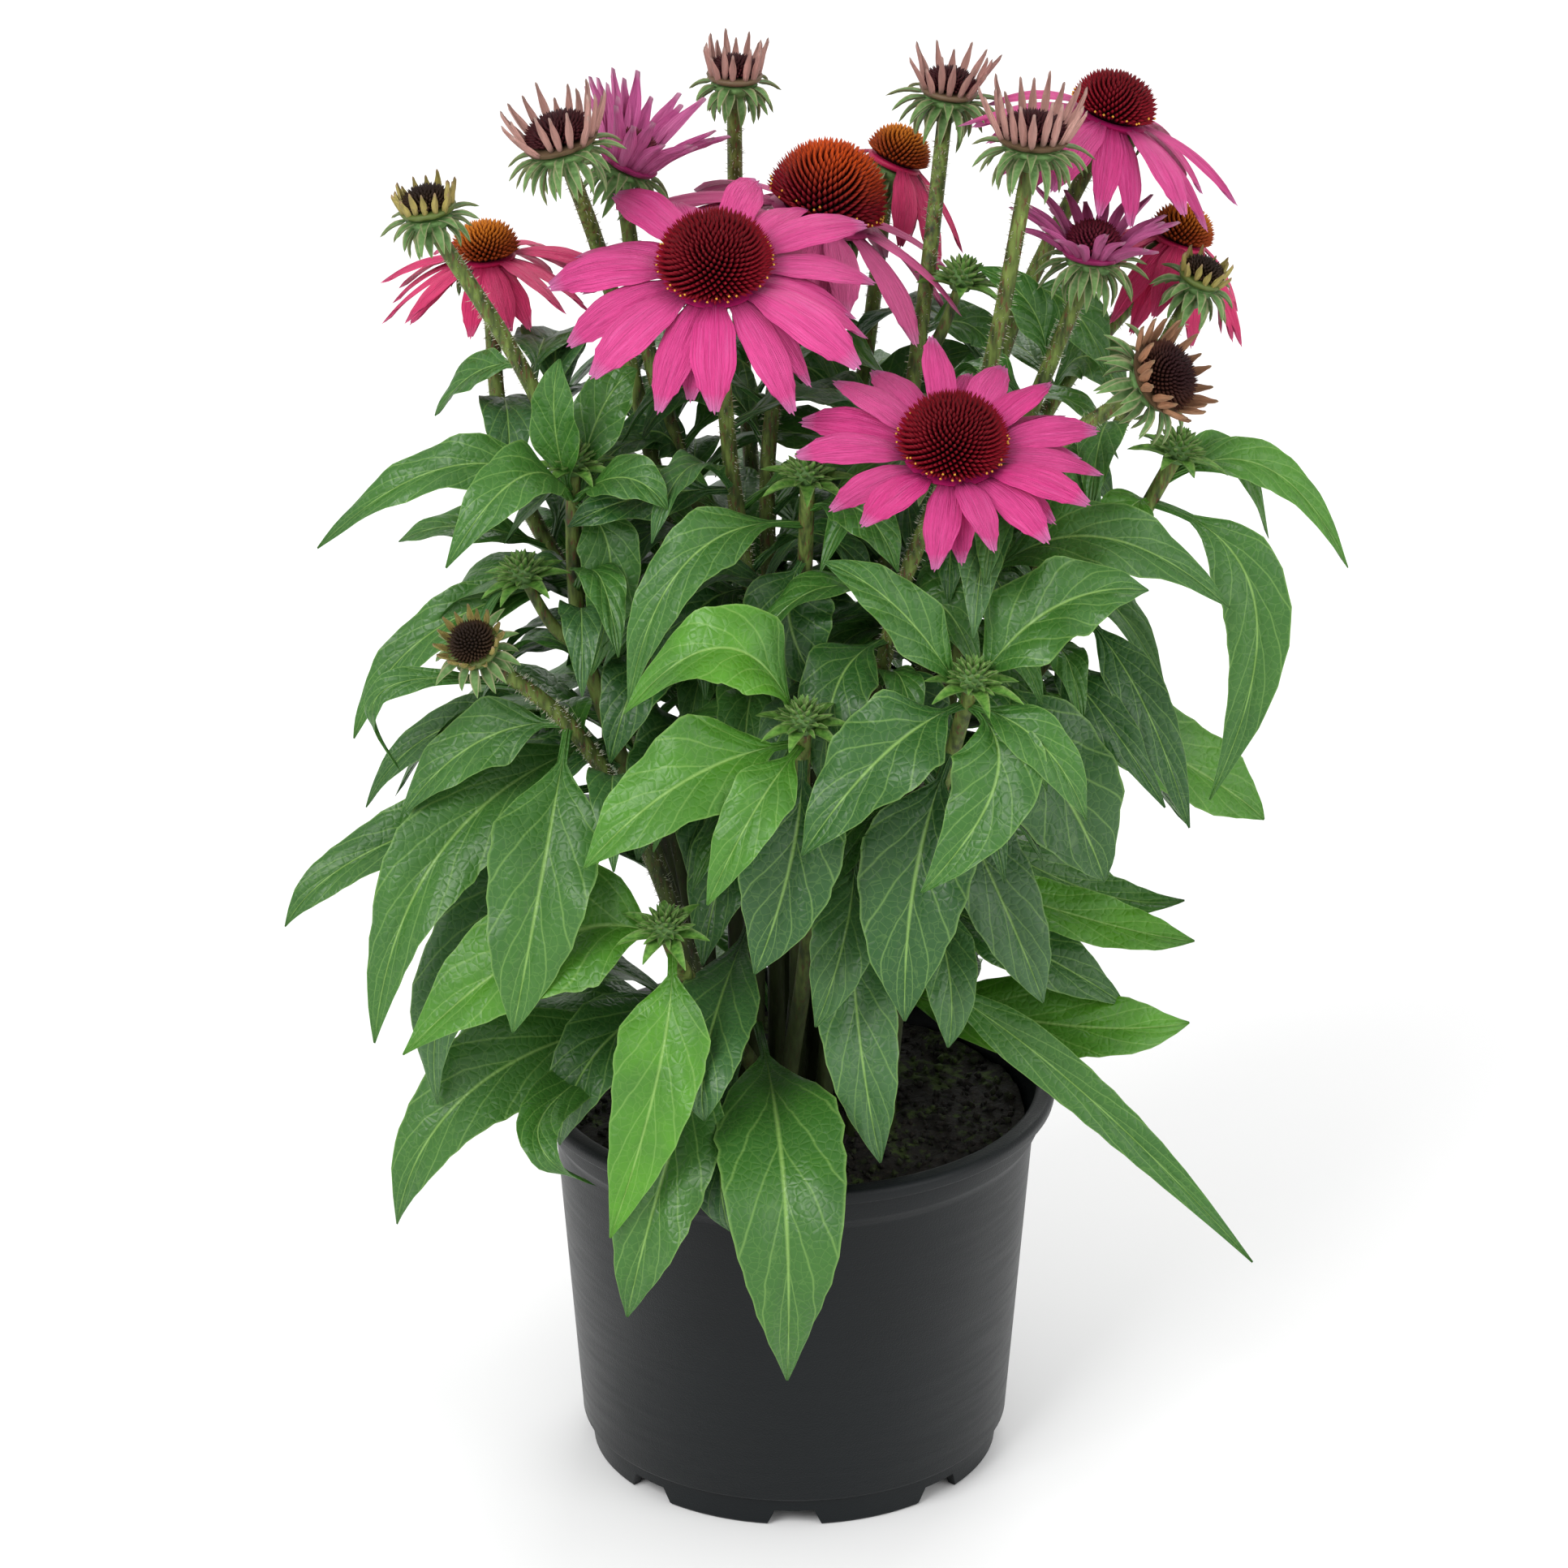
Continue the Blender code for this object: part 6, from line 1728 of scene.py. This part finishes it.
def drain_cylinder(bearing):
    """The cylinder that cuts one drain hole through the pot's floor."""
    shape = bmesh.new()
    place = Vector((math.cos(bearing), math.sin(bearing), 0)) * DRAIN_HOLE_PLACE
    place.z = POT_FLOOR
    radius = DRAIN_HOLE_RADIUS * MM
    bmesh.ops.create_cone(
        shape, cap_ends=True, segments=24, radius1=radius, radius2=radius, depth=POT_FLOOR * MM,
        matrix=Matrix.Translation(place * MM),
    )
    return cutter_object("drain", shape)


def cutter_object(name, shape):
    """An object from a bmesh, with its faces turned outwards."""
    bmesh.ops.recalc_face_normals(shape, faces=shape.faces)
    mesh = bpy.data.meshes.new(name)
    shape.to_mesh(mesh)
    shape.free()
    return bpy.data.objects.new(name, mesh)


def build_soil(material):
    """Crumbly soil: an uneven surface of clods, scattered with loose crumbs and bark."""
    skin = Skin()
    chance = random.Random("soil")
    edge = POT_BODY_TOP_RADIUS - POT_WALL - SOIL_GAP - 0.9
    rings, spokes = 44, 132
    points = [Vector((0, 0, soil_height(0, 0)))]
    for ring in range(1, rings + 1):
        for spoke in range(spokes):
            angle = math.tau * (spoke + 0.5 * (ring % 2)) / spokes
            reach = edge * ring / rings
            x, y = reach * math.cos(angle), reach * math.sin(angle)
            rough = mathutils.noise.fractal(Vector((x, y, 3)) * 0.22, 1.0, 2.1, 4) * SOIL_CLOD
            points.append(Vector((x, y, soil_height(x, y) - 0.4 + rough)))
    foot = POT_BODY_FOOT_RADIUS - POT_WALL - SOIL_GAP - 0.6
    bottom = POT_FLOOR + POT_WALL + SOIL_GAP
    for spoke in range(spokes):
        angle = math.tau * spoke / spokes
        points.append(Vector((foot * math.cos(angle), foot * math.sin(angle), bottom)))
    points.append(Vector((0, 0, bottom)))
    faces = []
    for spoke in range(spokes):
        following = (spoke + 1) % spokes
        faces.append((0, 1 + spoke, 1 + following))
        for ring in range(rings):
            low = 1 + ring * spokes
            high = low + spokes
            faces.append((low + spoke, high + spoke, high + following, low + following))
        faces.append((len(points) - 1, 1 + rings * spokes + following, 1 + rings * spokes + spoke))
    skin.add(points, faces, 0, (0.0, 0.5, 0.0))
    for index in range(SOIL_CRUMBS):
        reach, angle = (edge - 3) * math.sqrt(chance.random()), chance.uniform(0, math.tau)
        x, y = reach * math.cos(angle), reach * math.sin(angle)
        size = chance.uniform(0.7, 2.4)
        centre = Vector((x, y, soil_height(x, y) + size * 0.3))
        turn = Matrix.Rotation(chance.uniform(0, math.tau), 3, Vector((chance.random(), chance.random(), 1)))
        corners = []
        for axis in range(3):
            for way in (-1, 1):
                corner = Vector((0, 0, 0))
                corner[axis] = way * size * chance.uniform(0.5, 1.0)
                if axis == 0 and index % 5 == 0:
                    corner[axis] *= 2.2
                corners.append(centre + turn @ corner)
        octahedron = [(a, b, c) for a in (0, 1) for b in (2, 3) for c in (4, 5)]
        sides = [face if (face[0] + face[1] + face[2]) % 2 else face[::-1] for face in octahedron]
        skin.add(corners, sides, 0, (0.35 * (index % 7 == 0), chance.random(), 0.0))
    skin.piece("potting_soil", "soil", "soil", [material])


def build_stage():
    """A plain pale floor, soft studio lights and the camera."""
    material, tree, shader, add = node_maker("studio_floor")
    solid = add("ShaderNodeTexCoord").outputs["Object"]
    mottle = noise(add, solid, 3.0)
    tree.links.new(ramp(add, mottle, ((0.3, grey(0.885)), (0.7, grey(0.9)))), shader.inputs["Base Color"])
    shader.inputs["Roughness"].default_value = 0.9
    mesh = bpy.data.meshes.new("studio_floor")
    half = FLOOR_HALF
    corners = [(-half, -half, 0), (half, -half, 0), (half, half, 0), (-half, half, 0)]
    mesh.from_pydata(corners, [], [(0, 1, 2, 3)])
    mesh.materials.append(material)
    floor = bpy.data.objects.new("studio_floor", mesh)
    bpy.context.scene.collection.objects.link(floor)
    for name, place, size, power in LIGHTS:
        lamp = bpy.data.lights.new(name, "AREA")
        lamp.size = size
        lamp.energy = power
        light = bpy.data.objects.new(name, lamp)
        light.location = place
        light.rotation_euler = (Vector(place) - VIEW_AIM * MM).to_track_quat("Z", "Y").to_euler()
        bpy.context.scene.collection.objects.link(light)
    world = bpy.data.worlds.new("studio_world")
    world.use_nodes = True
    world.node_tree.nodes["Background"].inputs[0].default_value = (1, 1, 1, 1)
    world.node_tree.nodes["Background"].inputs[1].default_value = WORLD_LEVEL
    bpy.context.scene.world = world
    bpy.context.scene.view_settings.view_transform = "Standard"
    _, _, _, backward = view_axes()
    camera = bpy.data.cameras.new("photo_camera")
    camera.sensor_width = 36
    camera.lens = 36 * VIEW_FOCUS / (2 * VIEW_CENTRE)
    camera.clip_end = 50
    view = bpy.data.objects.new("photo_camera", camera)
    stand = Matrix.Translation((VIEW_AIM + backward * VIEW_DISTANCE) * MM)
    view.matrix_world = stand @ backward.to_track_quat("Z", "Y").to_matrix().to_4x4()
    bpy.context.scene.collection.objects.link(view)
    bpy.context.scene.camera = view


def main():
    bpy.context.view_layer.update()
    space = Space()
    space.add_object(frame["nodes"]["pot"])
    places = place_heads(space)
    paths = place_stems(space, places)
    space.add("soil", soil_part())
    leaves = place_leaves(space, paths)
    leaves += place_fills(space, paths)
    leaves += place_sprigs(space, paths)
    looks = {name: ray_material(name, *colours) for name, colours in RAY_COLOURS.items()}
    looks.update({name: cone_material(name, *colours) for name, colours in CONE_COLOURS.items()})
    looks["pollen"] = pollen_material()
    build_pot(pot_material())
    build_soil(soil_material())
    build_greens(places, paths, leaves, [leaf_material(), stem_material(), bract_material()])
    build_heads(places, looks)
    build_stage()


main()
